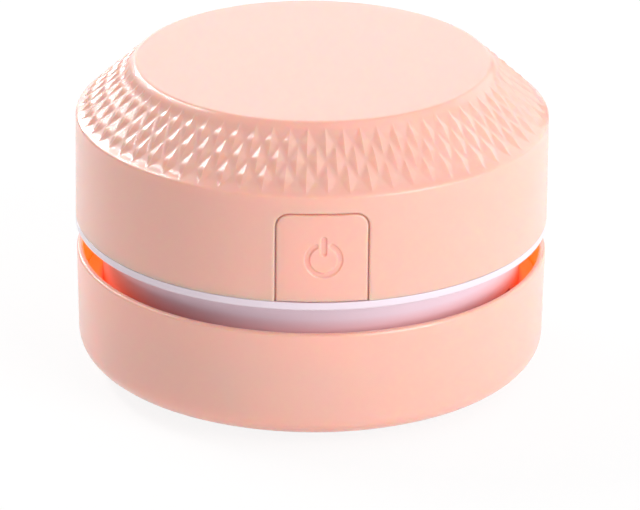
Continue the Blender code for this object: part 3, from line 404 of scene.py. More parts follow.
def glowShare(paint, inner, outer, low, high):
    # Share that rises from 0 to 1 between the two radii and again between the two heights, and fades
    # from 1 at the sides to 0 at the front.
    wall = paint.lengthRamp(paint.radius(), inner, outer)
    raised = paint.lengthRamp(paint.coordinate(), low, high)
    return wall * raised * paint.lengthRamp(paint.coordinate(1), *glowAt["frontToSide"])


def insideCup(paint):
    # The sides and back of the cup's inner wall, outside the chimney and inside the outer face, where the
    # light through the wall is painted.
    outerFace = paint.lengthRamp(paint.radius(), *glowAt["cupOuterFace"])
    return glowShare(paint, *glowAt["cupWall"]) * (1 - outerFace)


def lowOnNeck(paint):
    # Share of the painted reddish shade and bounce light: it falls from 1 on the flange to 0 high up the
    # neck.
    return 1 - paint.lengthRamp(paint.coordinate(), *glowAt["upNeck"])


def flangeTop(paint):
    # The flange's upper face outside the neck, where a glow is painted for light through the cup's wall.
    return glowShare(paint, *glowAt["flange"])


def plated(name, rgb, roughness, along=(400, 400, 4000)):
    # Metal with a brushed grain drawn out across one direction and a few duller patches.
    paint = Paint(name, Metallic=1.0)
    brushed = paint.noise(1.0, 3, paint.stretched(*along))
    dull = paint.ramp(paint.noise(300, 4), 0.45, 0.75)
    paint.feed(Base_Color=paint.shades(dull, rgb, 1, 0.86))
    paint.feed(Roughness=roughness + brushed * 0.12 + dull * 0.1)
    paint.bump(brushed, 0.2, 0.01)
    return paint.material


def foamCells(name, rgb):
    # Open cells: pores, painted dark as shade, where the Voronoi distance is small, ribs between them.
    paint = Paint(name, Roughness=0.95)
    cells = paint.node("ShaderNodeTexVoronoi", {"feature": "F1"}, {"Vector": paint.place, "Scale": 1600.0})
    pores = paint.ramp(cells, 0.15, 0.6)
    paint.feed(Base_Color=paint.shades(pores, rgb, 0.45, 1))
    paint.bump(pores, 0.8, 0.3)
    return paint.material


def pouchFoil(name, rgb):
    # Laminated foil: creases from a rough noise, a little darker where it is low, as painted shade.
    paint = Paint(name, Metallic=0.9)
    crease = paint.noise(90, 5, roughness=0.6)
    paint.feed(Base_Color=paint.shades(paint.ramp(crease, 0.35, 0.65), rgb, 0.9, 1))
    paint.feed(Roughness=0.28 + crease * 0.15)
    paint.bump(crease, 0.4, 0.25)
    return paint.material


def solderMask(name, rgb):
    # Green mask over copper tracks: bands along y and x are a shade lighter and stand a little proud.
    paint = Paint(name)
    x, y = paint.coordinate(0), paint.coordinate(1)
    wander = paint.noise(120, 1)
    bandX = x.sum("PINGPONG", x + wander * 0.004, 1.2 * mm) < 0.35 * mm
    bandY = y.sum("PINGPONG", y + wander * 0.003, 2.1 * mm) < 0.4 * mm
    track = bandX.sum("MAXIMUM", bandX, bandY)
    paint.feed(Base_Color=paint.shades(track, rgb, 1, 1.35))
    paint.feed(Roughness=0.38 - track * 0.1)
    paint.bump(track, 0.5, 0.05)
    return paint.material


def softRubber(name, rgb):
    # Matte rubber: a fine pebble and a dusty bloom that lifts the colour in patches.
    paint = Paint(name)
    bloom = paint.ramp(paint.noise(220, 4), 0.4, 0.7)
    pebble = paint.noise(2400, 2)
    paint.feed(Base_Color=paint.shades(bloom, rgb, 1, 1.12))
    paint.feed(Roughness=0.68 + bloom * 0.14)
    paint.bump(pebble, 0.4, 0.03)
    return paint.material


def nylonBristle(name, rgb):
    # Strands: the tone changes from strand to strand and darkens towards the root as painted shade.
    paint = Paint(name)
    strand = paint.noise(1.0, 1, paint.stretched(2600, 2600, 60))
    root = paint.lengthRamp(paint.coordinate(), 1.5, 4.2)
    tone = paint.ramp(strand, 0.3, 0.7) * 0.7 + (1 - root) * 0.3
    paint.feed(Base_Color=paint.shades(tone, rgb, 0.72, 1))
    paint.feed(Roughness=0.42 + strand * 0.2)
    return paint.material


peachRgb = (255, 184, 169)
throughWall = (200, 100, 22)  # light that the cup's thin wall lets in
# the cup's inner wall: orange painted into the base colour and a painted glow, for light through its thin
# wall
cupPaintedLight = ((255, 150, 80), throughWall, insideCup, insideCup)
# low on the neck a painted reddish shade and bounce light from the cup, on the flange's top a painted glow
neckPaintedLight = ((236, 112, 86), throughWall, lowOnNeck, flangeTop)
peachGloss = mouldedPlastic("peachGloss", peachRgb, 0.3, glow=0.9, Coat_Weight=0.3)
cupGloss = mouldedPlastic("cupGloss", peachRgb, 0.3, glow=0.9, paintedLight=cupPaintedLight, Coat_Weight=0.3)
trimGloss = mouldedPlastic("trimGloss", (228, 213, 224), 0.32, Coat_Weight=0.3)
neckGloss = mouldedPlastic("neckGloss", (240, 222, 234), 0.4, paintedLight=neckPaintedLight)
greyMoulded = mouldedPlastic("greyMoulded", (176, 172, 176), 0.42, 0.03, 0.03)
nylonWhite = mouldedPlastic("nylonWhite", (228, 226, 220), 0.5, 0.03, 0.03)
nylonBlack = mouldedPlastic("nylonBlack", (36, 36, 39), 0.46, 0.04, 0.12)
redSleeve = mouldedPlastic("redSleeve", (186, 32, 30), 0.42, 0.02, 0.05)
blackSleeve = mouldedPlastic("blackSleeve", (30, 30, 32), 0.42, 0.02, 0.08)
greyRubber = softRubber("greyRubber", (112, 104, 104))
platedSteel = plated("platedSteel", (196, 198, 202), 0.22)
sinteredBronze = plated("sinteredBronze", (180, 134, 86), 0.36, (3000, 3000, 3000))
foamGrey = foamCells("foamGrey", (92, 94, 98))
cellFoil = pouchFoil("cellFoil", (198, 200, 206))
boardMask = solderMask("boardMask", (26, 96, 62))
bristleNylon = nylonBristle("bristleNylon", (238, 226, 220))
print("materials ready")


# Top housing

housing = {
    "wall": 1.8, "crownRound": 1.1, "shoulderRound": 0.6, "footRound": 0.15,
    "knurls": 69, "finePitch": 12, "knurlReach": 5, "knurlPhase": 3, "knurlFirst": 0.28, "knurlStep": 0.24,
    "knurlHeight": 0.4, "knurlRecess": 0.3, "knurlProud": 0.1,
    "sinkFrom": 1.1, "sinkTo": 14.6, "sinkRun": 1.9,
    "apertureBlock": 26, "apertureBlend": 62, "apertureEdge": 0.3, "blendTopZ": 48.3,
    "windowHalfW": 4.8, "windowHalfH": 1.95, "windowRound": 1.6, "windowBlock": 14, "windowReach": 2.2,
    "bossR": 3.0, "bossZ": 27.1, "boardBossR": 2.1, "boardBossZ": 43.9, "pilotR": 1.35, "pilotDeep": 7.0,
    "boardPilotR": 1.0, "boardPilotDeep": 5.0, "boardScrewX": 10.04, "boardScrewY": 27.5,
    # where rows of the grid lie: radii on the crown, heights on the skirt, and shares near the outlines
    "crownRows": (8, 18, 26, 30.5), "bevelLead": 0.55, "shoulderRows": (48.1, 47.3, 46.6),
    "overAperture": (0.4, 0.28, 0.16, 0.07), "lowRows": (36.5, 34.2, 31.8, 30.3),
    "windowRows": (1.12, 1, 0.82, 0.5, 0, -0.5, -0.82, -1, -1.12), "footRows": (1.6, 1, 0.6, 0.3, 0.1, 0),
    "roofZ": 47.85, "roofRows": (20, 8),
}
boardPlaces = [(x * housing["boardScrewX"], y * housing["boardScrewY"]) for y in (-1, 1) for x in (-1, 1)]


def bodyPoint(name):
    return np.array([body[name + "R"], body[name + "Z"]])


def skirtRadius(z):
    # The skirt's face leans in by a straight line from its foot to the shoulder.
    share = (z - body["skirtZ"]) / (body["shoulderZ"] - body["skirtZ"])
    return body["skirtR"] + (body["shoulderR"] - body["skirtR"]) * share


def roundedEdge(distance, radius):
    # How far a quarter-round edge has fallen away at a distance from the edge.
    return radius - np.sqrt(radius**2 - np.clip(radius - distance, 0, radius) ** 2)


def past(x, z):
    # The length of what two distances have above zero.
    return np.hypot(np.maximum(x, 0), np.maximum(z, 0))


def outlineDistance(x, z, half, top, radius):
    # Distance outside an outline with a flat top and two round upper corners, open below.
    qx, qz = np.abs(x) - (half - radius), z - (top - radius)
    return past(qx, qz) - radius + np.minimum(np.maximum(qx, qz), 0)


def roundedShare(x, z, halfX, halfZ, radius):
    # The share of its distance from the middle at which a point comes to lie on a box with round corners,
    # found in eight steps of 0.8 of the distance that is still left.
    share = np.ones(x.shape)
    for turn in range(8):
        over = past(np.abs(x * share) - halfX + radius, np.abs(z * share) - halfZ + radius) - radius
        share = share - 0.8 * over / np.maximum(np.hypot(x, z), 0.1)
    return share


def postAngles():
    return np.array([1, -1, 1, -1]) * body["postAngle"] + np.array([0, 0, np.pi, np.pi])


def postPlaces():
    return around(body["postRingR"], postAngles(), 0.0)[:, :2]


def blindTube(radius, bore, low, high, deep, place, columns=32):
    # A boss with a blind hole from below: one closed line from the axis down the outside and up the hole.
    line = [(0, high), (radius, high), (radius, low + 0.3), (radius - 0.3, low), (bore + 0.2, low)]
    line += [(bore, low + 0.2), (bore, low + deep), (0, low + deep)]
    return capped(np.array(line, float), columns, place)


def aperture():
    # The opening round the button: its top, its half width and the radius of its corners.
    return [body[name] + body["buttonGap"] for name in ("buttonTop", "buttonHalf", "buttonRound")]


def housingLine(along):
    # The shell's (radius, height) line: from the crown's middle out, down the bevel with a row at each of
    # the given distances, down the skirt, round the foot and back up inside. With it come the rows at
    # which its stretches begin.
    h = housing
    crown, shoulder, skirt = bodyPoint("crown"), bodyPoint("shoulder"), bodyPoint("skirt")
    down = (shoulder - crown) / np.hypot(*(shoulder - crown))
    top, _, radius = aperture()
    flat = [(r, crown[1]) for r in h["crownRows"]]
    arc = roundedLine([(0, crown[1], 0), (*crown, h["crownRound"]), (*shoulder, 0)], 7, closed=False)[1:-1]
    lead = h["bevelLead"] + 0.3 * (along[0] - h["bevelLead"])
    bevel = crown + np.append(lead, along)[:, None] * down
    bend = [(*bevel[-1], 0), (*shoulder, h["shoulderRound"]), (*skirt, 0)]
    bend = roundedLine(bend, 5, closed=False)[1:-1]
    corner = top - radius * (1 - np.cos(np.radians(np.arange(0, 91, 10))))
    window = body["socketZ"] + h["windowHalfH"] * np.array(h["windowRows"])
    foot = body["skirtZ"] + h["footRound"] * np.array(h["footRows"])
    stretches = [h["shoulderRows"], top + np.array(h["overAperture"]), corner, window, h["lowRows"], foot]
    z = np.concatenate(stretches)
    r = skirtRadius(z) - roundedEdge(z - body["skirtZ"], h["footRound"])
    outer = np.vstack([flat, arc, bevel, bend, np.stack([r, z], -1)])
    starts = len(outer) - len(z) + np.cumsum([0] + [len(s) for s in stretches])
    innerZ = z[:starts[2] - starts[0] - 1:-1]
    inside = np.stack([skirtRadius(innerZ) - h["wall"], innerZ], -1)
    innerTop = body["crownZ"] - h["wall"]
    roof = [(body["shoulderR"] - h["wall"], h["roofZ"]), (body["crownR"] - h["wall"] / 2, innerTop)]
    roof += [(r, innerTop) for r in h["roofRows"]]
    knurls = len(flat) + len(arc) + 1
    rows = {
        "knurls": slice(knurls, knurls + len(along)), "skirt": starts[0], "top": starts[2],
        "window": starts[3] + 1, "windowFoot": starts[4] - 2, "foot": len(outer) - 1,
        "roof": len(outer) + len(inside),
    }
    return np.vstack([outer, inside, roof]), rows


def knurlLift(rows, j):
    # How far each point is lifted: height * max(0, 1 - |across| / reach - |along| / reach), measured in
    # grid steps from the nearest pyramid's middle. Every second ring of pyramids is half a pitch round.
    h, half = housing, housing["finePitch"] // 2
    lift = np.zeros((len(rows), len(j)))
    for ring in range(3):
        away = np.abs(rows - ring * half)[:, None]
        phase = h["knurlPhase"] - half * (ring % 2)
        across = np.abs((j - phase + half) % h["finePitch"] - half)[None]
        pyramid = np.maximum(0, 1 - away / h["knurlReach"] - across / h["knurlReach"])
        lift = np.maximum(lift, h["knurlHeight"] * pyramid)
    return lift


def apertureColumns(z, j, step):
    # Where each column lies across the aperture: within the block they share the outline's width, and
    # outside they close up to it.
    block, far = housing["apertureBlock"], housing["apertureBlend"]
    top, half, radius = aperture()
    high = np.clip(z[:, :1] - (top - radius), 0, radius)
    width = half - radius + np.sqrt(radius**2 - high**2)
    k = np.abs(j)[None]
    near = np.interp(k - block, [0, 1, 2, 3], [0, 0.05, 0.13, 0.25])
    room = body["skirtR"] * np.sin(far * step) - width - 0.25
    away = 0.25 + room * (k - block - 3) / (far - block - 3)
    outside = width + np.where(k <= block + 3, near, away)
    return np.where(k <= block, width * k / block, outside) * np.sign(j)


def knurledFaces(wrapped, lift, rows):
    # The bevel's faces are split along the pyramid edges: the diagonal whose ends are level.
    knurled = gridQuads(wrapped[rows])
    level = np.zeros(wrapped.max() + 1)
    level[wrapped[rows, :-1]] = lift
    a, b, c, d = level[knurled].T
    split = np.abs(a - c) <= np.abs(b - d)
    p, q = knurled[split], knurled[~split]
    return np.vstack([p[:, [0, 1, 2]], p[:, [0, 2, 3]], q[:, [0, 1, 3]], q[:, [1, 2, 3]]])


def housingShell():
    # The shell is one grid. The knurled band is sunk by a smooth step from its two edges, and its points
    # are lifted along the bevel's normal. At the front the columns close in on the aperture's outline, and
    # the points near it fall away by a quarter round of their distance from it.
    h, skirtR = housing, body["skirtR"]
    fine, reach = h["finePitch"], h["knurlReach"]
    columns = h["knurls"] * fine
    step = 2 * np.pi / columns
    slope = bodyPoint("shoulder") - bodyPoint("crown")
    length = np.hypot(*slope)
    knurlRows = np.arange(-reach, fine + reach + 1)
    along = h["knurlFirst"] * length + knurlRows * h["knurlStep"] * length / (fine / 2)
    line, rows = housingLine(along)
    r = np.repeat(line[:, :1], columns, 1)
    z = np.repeat(line[:, 1:], columns, 1)
    j = np.arange(columns) - columns // 4  # 0 at the button
    row = np.arange(len(line))[:, None]

    # Pyramids
    ease = np.clip(np.minimum(along - h["sinkFrom"], h["sinkTo"] - along) / h["sinkRun"], 0, 1)
    lift = knurlLift(knurlRows, j)
    rise = np.minimum(lift - h["knurlRecess"] * smooth(ease)[:, None], h["knurlProud"])
    r[rows["knurls"]] -= rise * slope[1] / length
    z[rows["knurls"]] += rise * slope[0] / length

    # Aperture
    top, half, radius = aperture()
    block, far = h["apertureBlock"], h["apertureBlend"]
    k, below = np.abs(j)[None], rows["knurls"].stop
    blendFoot = top + h["overAperture"][0]
    share = np.clip((h["blendTopZ"] - z[:, :1]) / (h["blendTopZ"] - blendFoot), 0, 1)
    share = share * (k <= far) * (row >= below) * (row < rows["roof"])
    x = skirtR * np.sin(j * step) * (1 - share) + apertureColumns(z, j, step) * share
    gone = outlineDistance(x, z, half, top, radius)
    outside = (row >= below) & (row <= rows["foot"]) & (k <= far)
    r -= outside * roundedEdge(np.maximum(gone, 0), h["apertureEdge"])
    angle = np.where(k <= far, np.arcsin(np.clip(x / skirtR, -1, 1)), j * step)
    hold = np.clip((far - k) / (far - block - 3), 0, 1)
    innerAngle = angle * (1 - hold) + np.arcsin(np.clip(x / r, -1, 1)) * hold
    angle = np.where((row > rows["foot"]) & (k <= far) & (share > 0), innerAngle, angle)

    # Socket window: its block's square outline is drawn in to a slot with round corners
    slotW, slotH, slot = h["windowHalfW"], h["windowHalfH"], h["windowBlock"]
    px = np.repeat((j - columns // 2)[None] * slotW / slot, len(line), 0)
    pz = z - body["socketZ"]
    norm = np.maximum(np.abs(px) / slotW, np.abs(pz) / slotH)
    away = np.maximum(norm, 1e-6)
    drawn = roundedShare(px / away, pz / away, slotW, slotH, h["windowRound"])
    fade = np.clip(h["windowReach"] - norm, 0, 1)
    scale = 1 - (1 - drawn) * fade
    touched = (fade > 0) & (row >= rows["skirt"])
    angle = np.where(touched, np.pi + px * scale / skirtR, angle)
    z = np.where(touched, body["socketZ"] + pz * scale, z)

    def flip(row):
        # The inner row behind a row of the skirt.
        return 2 * rows["foot"] + 1 - row

    index = gridIndex(len(line), columns)
    wrapped = closedColumns(index)
    front, middle = columns // 4, columns // 4 + columns // 2
    left, right = front - block, front + block
    upper, lower = rows["window"], rows["windowFoot"]
    keep = np.ones((len(line) - 1, columns), bool)
    keep[rows["top"]:flip(rows["top"]), left:right] = False
    keep[upper:lower, middle - slot:middle + slot] = False
    keep[flip(lower):flip(upper), middle - slot:middle + slot] = False
    keep[rows["knurls"].start:rows["knurls"].stop - 1] = False
    faces = [gridQuads(wrapped, keep), knurledFaces(wrapped, lift, rows["knurls"])]

    # Walls of the aperture and of the window
    tall = np.arange(rows["top"], rows["foot"] + 1)
    faces.append(stripQuads(index[tall, left], index[flip(tall), left]))
    faces.append(stripQuads(index[tall[::-1], right], index[flip(tall[::-1]), right]))
    over = np.arange(right, left - 1, -1)
    faces.append(stripQuads(index[rows["top"], over], index[flip(rows["top"]), over]))
    loopRows, loopColumns = blockRound(upper, lower, middle - slot, middle + slot)
    faces.append(stripQuads(index[loopRows, loopColumns], index[flip(loopRows), loopColumns]))

    poles = [[0, 0, body["crownZ"]], [0, 0, body["crownZ"] - h["wall"]]]
    points = np.vstack([around(r, angle, z).reshape(-1, 3), poles])
    faces += [poleTris(wrapped[0], index.size, True), poleTris(wrapped[-1], index.size + 1, False)]
    return points, faces


def topHousing():
    h = housing
    roof = body["crownZ"] - h["wall"] + overlap
    shapes = [housingShell()]
    for place in postPlaces():
        shapes.append(blindTube(h["bossR"], h["pilotR"], h["bossZ"], roof, h["pilotDeep"], place))
    for place in boardPlaces:
        tube = (h["boardBossR"], h["boardPilotR"], h["boardBossZ"], roof, h["boardPilotDeep"])
        shapes.append(blindTube(*tube, place, 24))
    return joined(shapes)


makePiece("housingShell", topHousing(), "main_body", peachGloss, ["top_housing"], sharp=24)


# Power button

button = {
    "low": 29.3, "backY": 39.5, "lipY": 39.97, "lipT": 1.0, "lipW": 1.2, "stemR": 2.2, "stemEnd": 38.37,
    "edge": 0.35, "ledge": 0.2, "ledgeDeep": 0.25, "pressZ": 39.7,
    "markX": 0.25, "markZ": 37.25, "markR": 2.9, "stroke": 0.9, "markOpening": np.radians(29),
    "barLow": 1.2, "barHigh": 3.75, "barW": 1.04, "markDeep": 0.28, "markEdge": 0.12, "markSlope": 0.26,
    "rimRows": (0, 0.02, 0.06, 0.12, 0.2, 0.28, 0.36), "rowsFrom": 42.95, "rowsTo": 29.75, "rowPitch": 0.11,
    "columns": 141,
}


def markDistance(x, z):
    # Distance to a ring that is open at the top and to an upright bar in its opening, both with round ends.
    b = button
    x, z = np.abs(x - b["markX"]), z - b["markZ"]
    angle = np.arctan2(x, z)
    endX, endZ = b["markR"] * np.sin(b["markOpening"]), b["markR"] * np.cos(b["markOpening"])
    arc = np.abs(np.hypot(x, z) - b["markR"])
    ring = np.where(angle > b["markOpening"], arc, np.hypot(x - endX, z - endZ))
    bar = np.hypot(x, z - np.clip(z, b["barLow"], b["barHigh"]))
    return np.minimum(ring - b["stroke"] / 2, bar - b["barW"] / 2)


def buttonFace():
    # A patch of the skirt's own cylinder on an (x, height) grid. It falls away by a quarter round towards
    # its outline and sinks by a smooth step of the distance to the mark. Behind its edge the outline grows
    # by a ledge that closes most of the gap.
    b = button
    half, top, radius = body["buttonHalf"], body["buttonTop"], body["buttonRound"]
    tight = np.array(b["rimRows"])
    corner = top - radius * (1 - np.cos(np.radians(np.arange(0, 91, 6))))
    middle = np.arange(b["rowsFrom"], b["rowsTo"], -b["rowPitch"])
    heights = np.concatenate([corner, middle, b["low"] + tight[::-1]])
    u = np.linspace(-1, 1, b["columns"])
    high = np.clip(heights - (top - radius), 0, radius)
    width = (half - radius + np.sqrt(radius**2 - high**2))[:, None]
    side = tight[:-1][None]
    cols = np.concatenate([side - width, u[None] * (width - tight[-1]), width - side[:, ::-1]], 1)
    z = np.repeat(heights[:, None], cols.shape[1], 1)
    edge = np.minimum(-outlineDistance(cols, z, half, top, radius), z - b["low"])
    step = np.clip((b["markEdge"] - markDistance(cols, z)) / b["markSlope"], 0, 1)
    r = skirtRadius(z) - roundedEdge(np.maximum(edge, 0), b["edge"]) - b["markDeep"] * smooth(step)
    front = np.stack([cols, -np.sqrt(r**2 - cols**2), z], -1)
    index = gridIndex(*cols.shape)
    rim = np.concatenate([index[:-1, 0], index[-1, :-1], index[:0:-1, -1], index[0, :0:-1]])
    rimPoints = front.reshape(-1, 3)[rim]
    x, z = rimPoints[:, 0], rimPoints[:, 2]
    leanX = np.sign(x) * np.maximum(np.abs(x) - half + radius, 0)
    lean = np.column_stack([leanX, 0 * x, np.maximum(z - top + radius, 0)])
    lean *= b["ledge"] / np.maximum(np.linalg.norm(lean, axis=1), 1e-6)[:, None]
    under = rimPoints + [0, b["ledgeDeep"], 0]
    ledge = under + lean
    back = ledge * [1, 0, 1] - [0, b["backY"], 0]
    faces, loop, n = [gridQuads(index)], closedRows(rim), index.size
    for turn in range(3):
        ring = np.arange(n, n + len(rim))
        faces.append(stripQuads(loop, closedRows(ring))[:, ::-1])
        loop, n = closedRows(ring), n + len(rim)
    faces.append(ring[::-1][None])
    return np.vstack([front.reshape(-1, 3), under, ledge, back]), faces


def powerButton():
    b = button
    half, top = body["buttonHalf"] + b["lipW"], body["buttonTop"] + b["lipW"]
    radius = body["buttonRound"] + b["lipW"]
    outline = rectangle(-half, half, b["low"], top, (0.3, 0.3, radius, radius), 8)
    lip = laid(prism(outline, -b["lipY"], -b["lipY"] + b["lipT"], 0.15))
    stemOutline = roundedBox(b["stemR"], b["stemR"], b["stemR"] * 0.999, 8)
    stem = laid(prism(stemOutline, -b["lipY"] + 0.5, -b["stemEnd"], 0.15), z=b["pressZ"])
    return joined([buttonFace(), lip, stem])


makePiece("buttonFace", powerButton(), "button", peachGloss, ["power_button"])


# Trim ring

trim = {"innerR": 37.3, "lowEdge": 0.35, "topEdge": 0.1, "topZ": 29.17}


def trimRing():
    t = trim
    edges = (0.2, t["lowEdge"], t["topEdge"], 0.1)
    return turned(rectangle(t["innerR"], body["skirtR"], body["ringZ"], t["topZ"], edges, 6), 384)


makePiece("trimRing", trimRing(), "main_body", trimGloss, ["trim_ring"])


# Dust cup

cup = {
    "rimR": 43.3, "footR": 43.1, "wall": 1.2, "footRound": 4.5, "rimRound": 0.6,
    "inletR": 6.5, "inletWall": 1.4,
    "channelIn": 13.0, "channelOut": 18.0, "channelZ": 5.0, "channelWall": 1.4, "chimneyZ": 9.5,
    "ribs": 8, "ribW": 1.2, "ribDeep": 2.4, "ribTop": 13.5, "ribHeel": 1.7, "ribHeelUp": 2.9,
}


def dustCup():
    c = cup
    low, floor, rim, roof = body["cupZ"], body["cupFloorZ"], body["rimZ"], c["channelZ"] + c["channelWall"]
    innerRim, innerFoot = c["rimR"] - c["wall"], c["footR"] - c["wall"]
    chimneyR, chimneyZ = c["inletR"] + c["inletWall"], c["chimneyZ"]
    ridgeIn, ridgeOut = c["channelIn"] - c["channelWall"], c["channelOut"] + c["channelWall"]
    line = roundedLine([
        (c["inletR"], low, 0.5), (c["channelIn"], low, 0.3), (c["channelIn"], c["channelZ"], 0.2),
        (c["channelOut"], c["channelZ"], 0.2), (c["channelOut"], low, 0.3), (c["footR"], low, c["footRound"]),
        (c["rimR"], rim, c["rimRound"]), (innerRim, rim, 0.35),
        (innerFoot, floor, c["footRound"] - c["wall"]),
        (ridgeOut, floor, 0.4), (ridgeOut, roof, 0.4), (ridgeIn, roof, 0.4), (ridgeIn, floor, 0.4),
        (chimneyR, floor, 0.4), (chimneyR, chimneyZ, 0.4), (c["inletR"], chimneyZ, 0.4),
    ], 8)
    shapes = [turned(line, 256)]

    # Stop ribs, whose heel keeps inside the foot's round
    inner, heel, outer = innerFoot - c["ribDeep"], innerFoot - c["ribHeel"], innerFoot + overlap
    ribLine = roundedLine([
        (inner, floor - overlap, 0), (heel, floor - overlap, 0), (outer, floor + c["ribHeelUp"], 0),
        (outer, c["ribTop"], 0.2), (inner, c["ribTop"], 0.2),
    ], 3)
    for rib in range(c["ribs"]):
        piece = laid(prism(ribLine, -c["ribW"] / 2, c["ribW"] / 2, 0.2))
        shapes.append(swung(piece, 2 * np.pi * (rib + 0.5) / c["ribs"]))
    return joined(shapes)


makePiece("cupShell", dustCup(), "dust_cup", cupGloss, ["dust_cup"])


# Chassis: neck, flange, filter well and fan floor

neck = {
    "eyeR": 9.0, "fanFloorZ": 18.0, "fanFloorT": 1.2, "wellWall": 1.4, "flangeR": 41.8, "grooveR": 40.6,
    "grooveLow": 14.2, "grooveHigh": 15.8, "footR": 38.4, "topR": 38.9, "wall": 1.8, "spigotR": 37.0,
    "spigotWall": 1.4, "spigotZ": 30.7, "bendZ": 24.6, "innerBendZ": 25.6, "innerLean": 0.1 / 9.4,
    "ventLow": 16.5, "ventHigh": 19.4, "ventHalf": 3.2, "ventRound": 0.8, "ventPitch": 15.6, "vents": 4,
    "postR": 3.2, "postZ": 24.7, "webHalf": 0.8, "webTop": 23.8, "sinkR": 2.6, "sinkZ": 17.8,
    "guardHub": 3.6, "guardBar": 1.2, "spokes": 6,
    # radii that tell the neck's outer face, its inner face and the flange's underside from the rest
    "outerFrom": 36.8, "innerFrom": 35.0, "underFrom": 23.5, "underTo": 37.0,
}


def neckAngles(marks, widest=1.6):
    # Every marked angle, with the gaps between neighbours divided evenly into steps no wider than asked.
    marks = np.unique(np.round(np.concatenate(marks), 4))
    marks = marks[np.concatenate([[True], np.diff(marks) > 0.12])]
    ends = np.append(marks, marks[0] + 360)
    parts = [np.linspace(a, b, int(np.ceil((b - a) / widest)) + 1)[:-1] for a, b in zip(ends, ends[1:])]
    return np.concatenate(parts)


def neckLine(ventZ):
    # The closed (radius, height) outline: fan floor, filter well, flange with its groove, neck and spigot.
    n, well, ring, sink = neck, body["wellR"], body["postRingR"], neck["sinkR"]
    flangeLow, flangeHigh, top = body["flangeZ"], body["flangeTopZ"], body["neckTopZ"]
    fanLow, fanHigh = n["fanFloorZ"], n["fanFloorZ"] + n["fanFloorT"]
    wellOut, footIn, spigotIn = well + n["wellWall"], n["footR"] - n["wall"], n["spigotR"] - n["spigotWall"]
    underR = (24.0, *(ring + sink * np.array([-1.5, -1, -0.6, 0, 0.6, 1, 1.5])), 36.5)
    lean = (n["topR"] - n["footR"]) / (top - flangeHigh)
    outerFace = [(n["footR"] + lean * (z - flangeHigh), z, 0) for z in ventZ[::-1]]
    innerFace = [(footIn + n["innerLean"] * (z - flangeHigh), z, 0) for z in ventZ]
    return roundedLine([
        (n["eyeR"], fanLow, 0.2), (well, fanLow, 0.3), (well, flangeLow, 0.3),
        *[(r, flangeLow, 0) for r in underR], (n["flangeR"], flangeLow, 0.25),
        (n["flangeR"], n["grooveLow"], 0.08), (n["grooveR"], n["grooveLow"], 0.08),
        (n["grooveR"], n["grooveHigh"], 0.08), (n["flangeR"], n["grooveHigh"], 0.08),
        (n["flangeR"], flangeHigh, 0.15), (n["footR"], flangeHigh, 0.25), *outerFace,
        (n["topR"] - 0.1, n["bendZ"], 0), (n["topR"], top, 0.25), (n["spigotR"], top, 0.1),
        (n["spigotR"], n["spigotZ"], 0.2), (spigotIn, n["spigotZ"], 0.2), (spigotIn, n["innerBendZ"], 0),
        *innerFace, (footIn, flangeHigh, 0.15), (wellOut, flangeHigh, 0.15), (wellOut, fanHigh, 0.3),
        (n["eyeR"], fanHigh, 0.2),
    ], 4)[::-1]


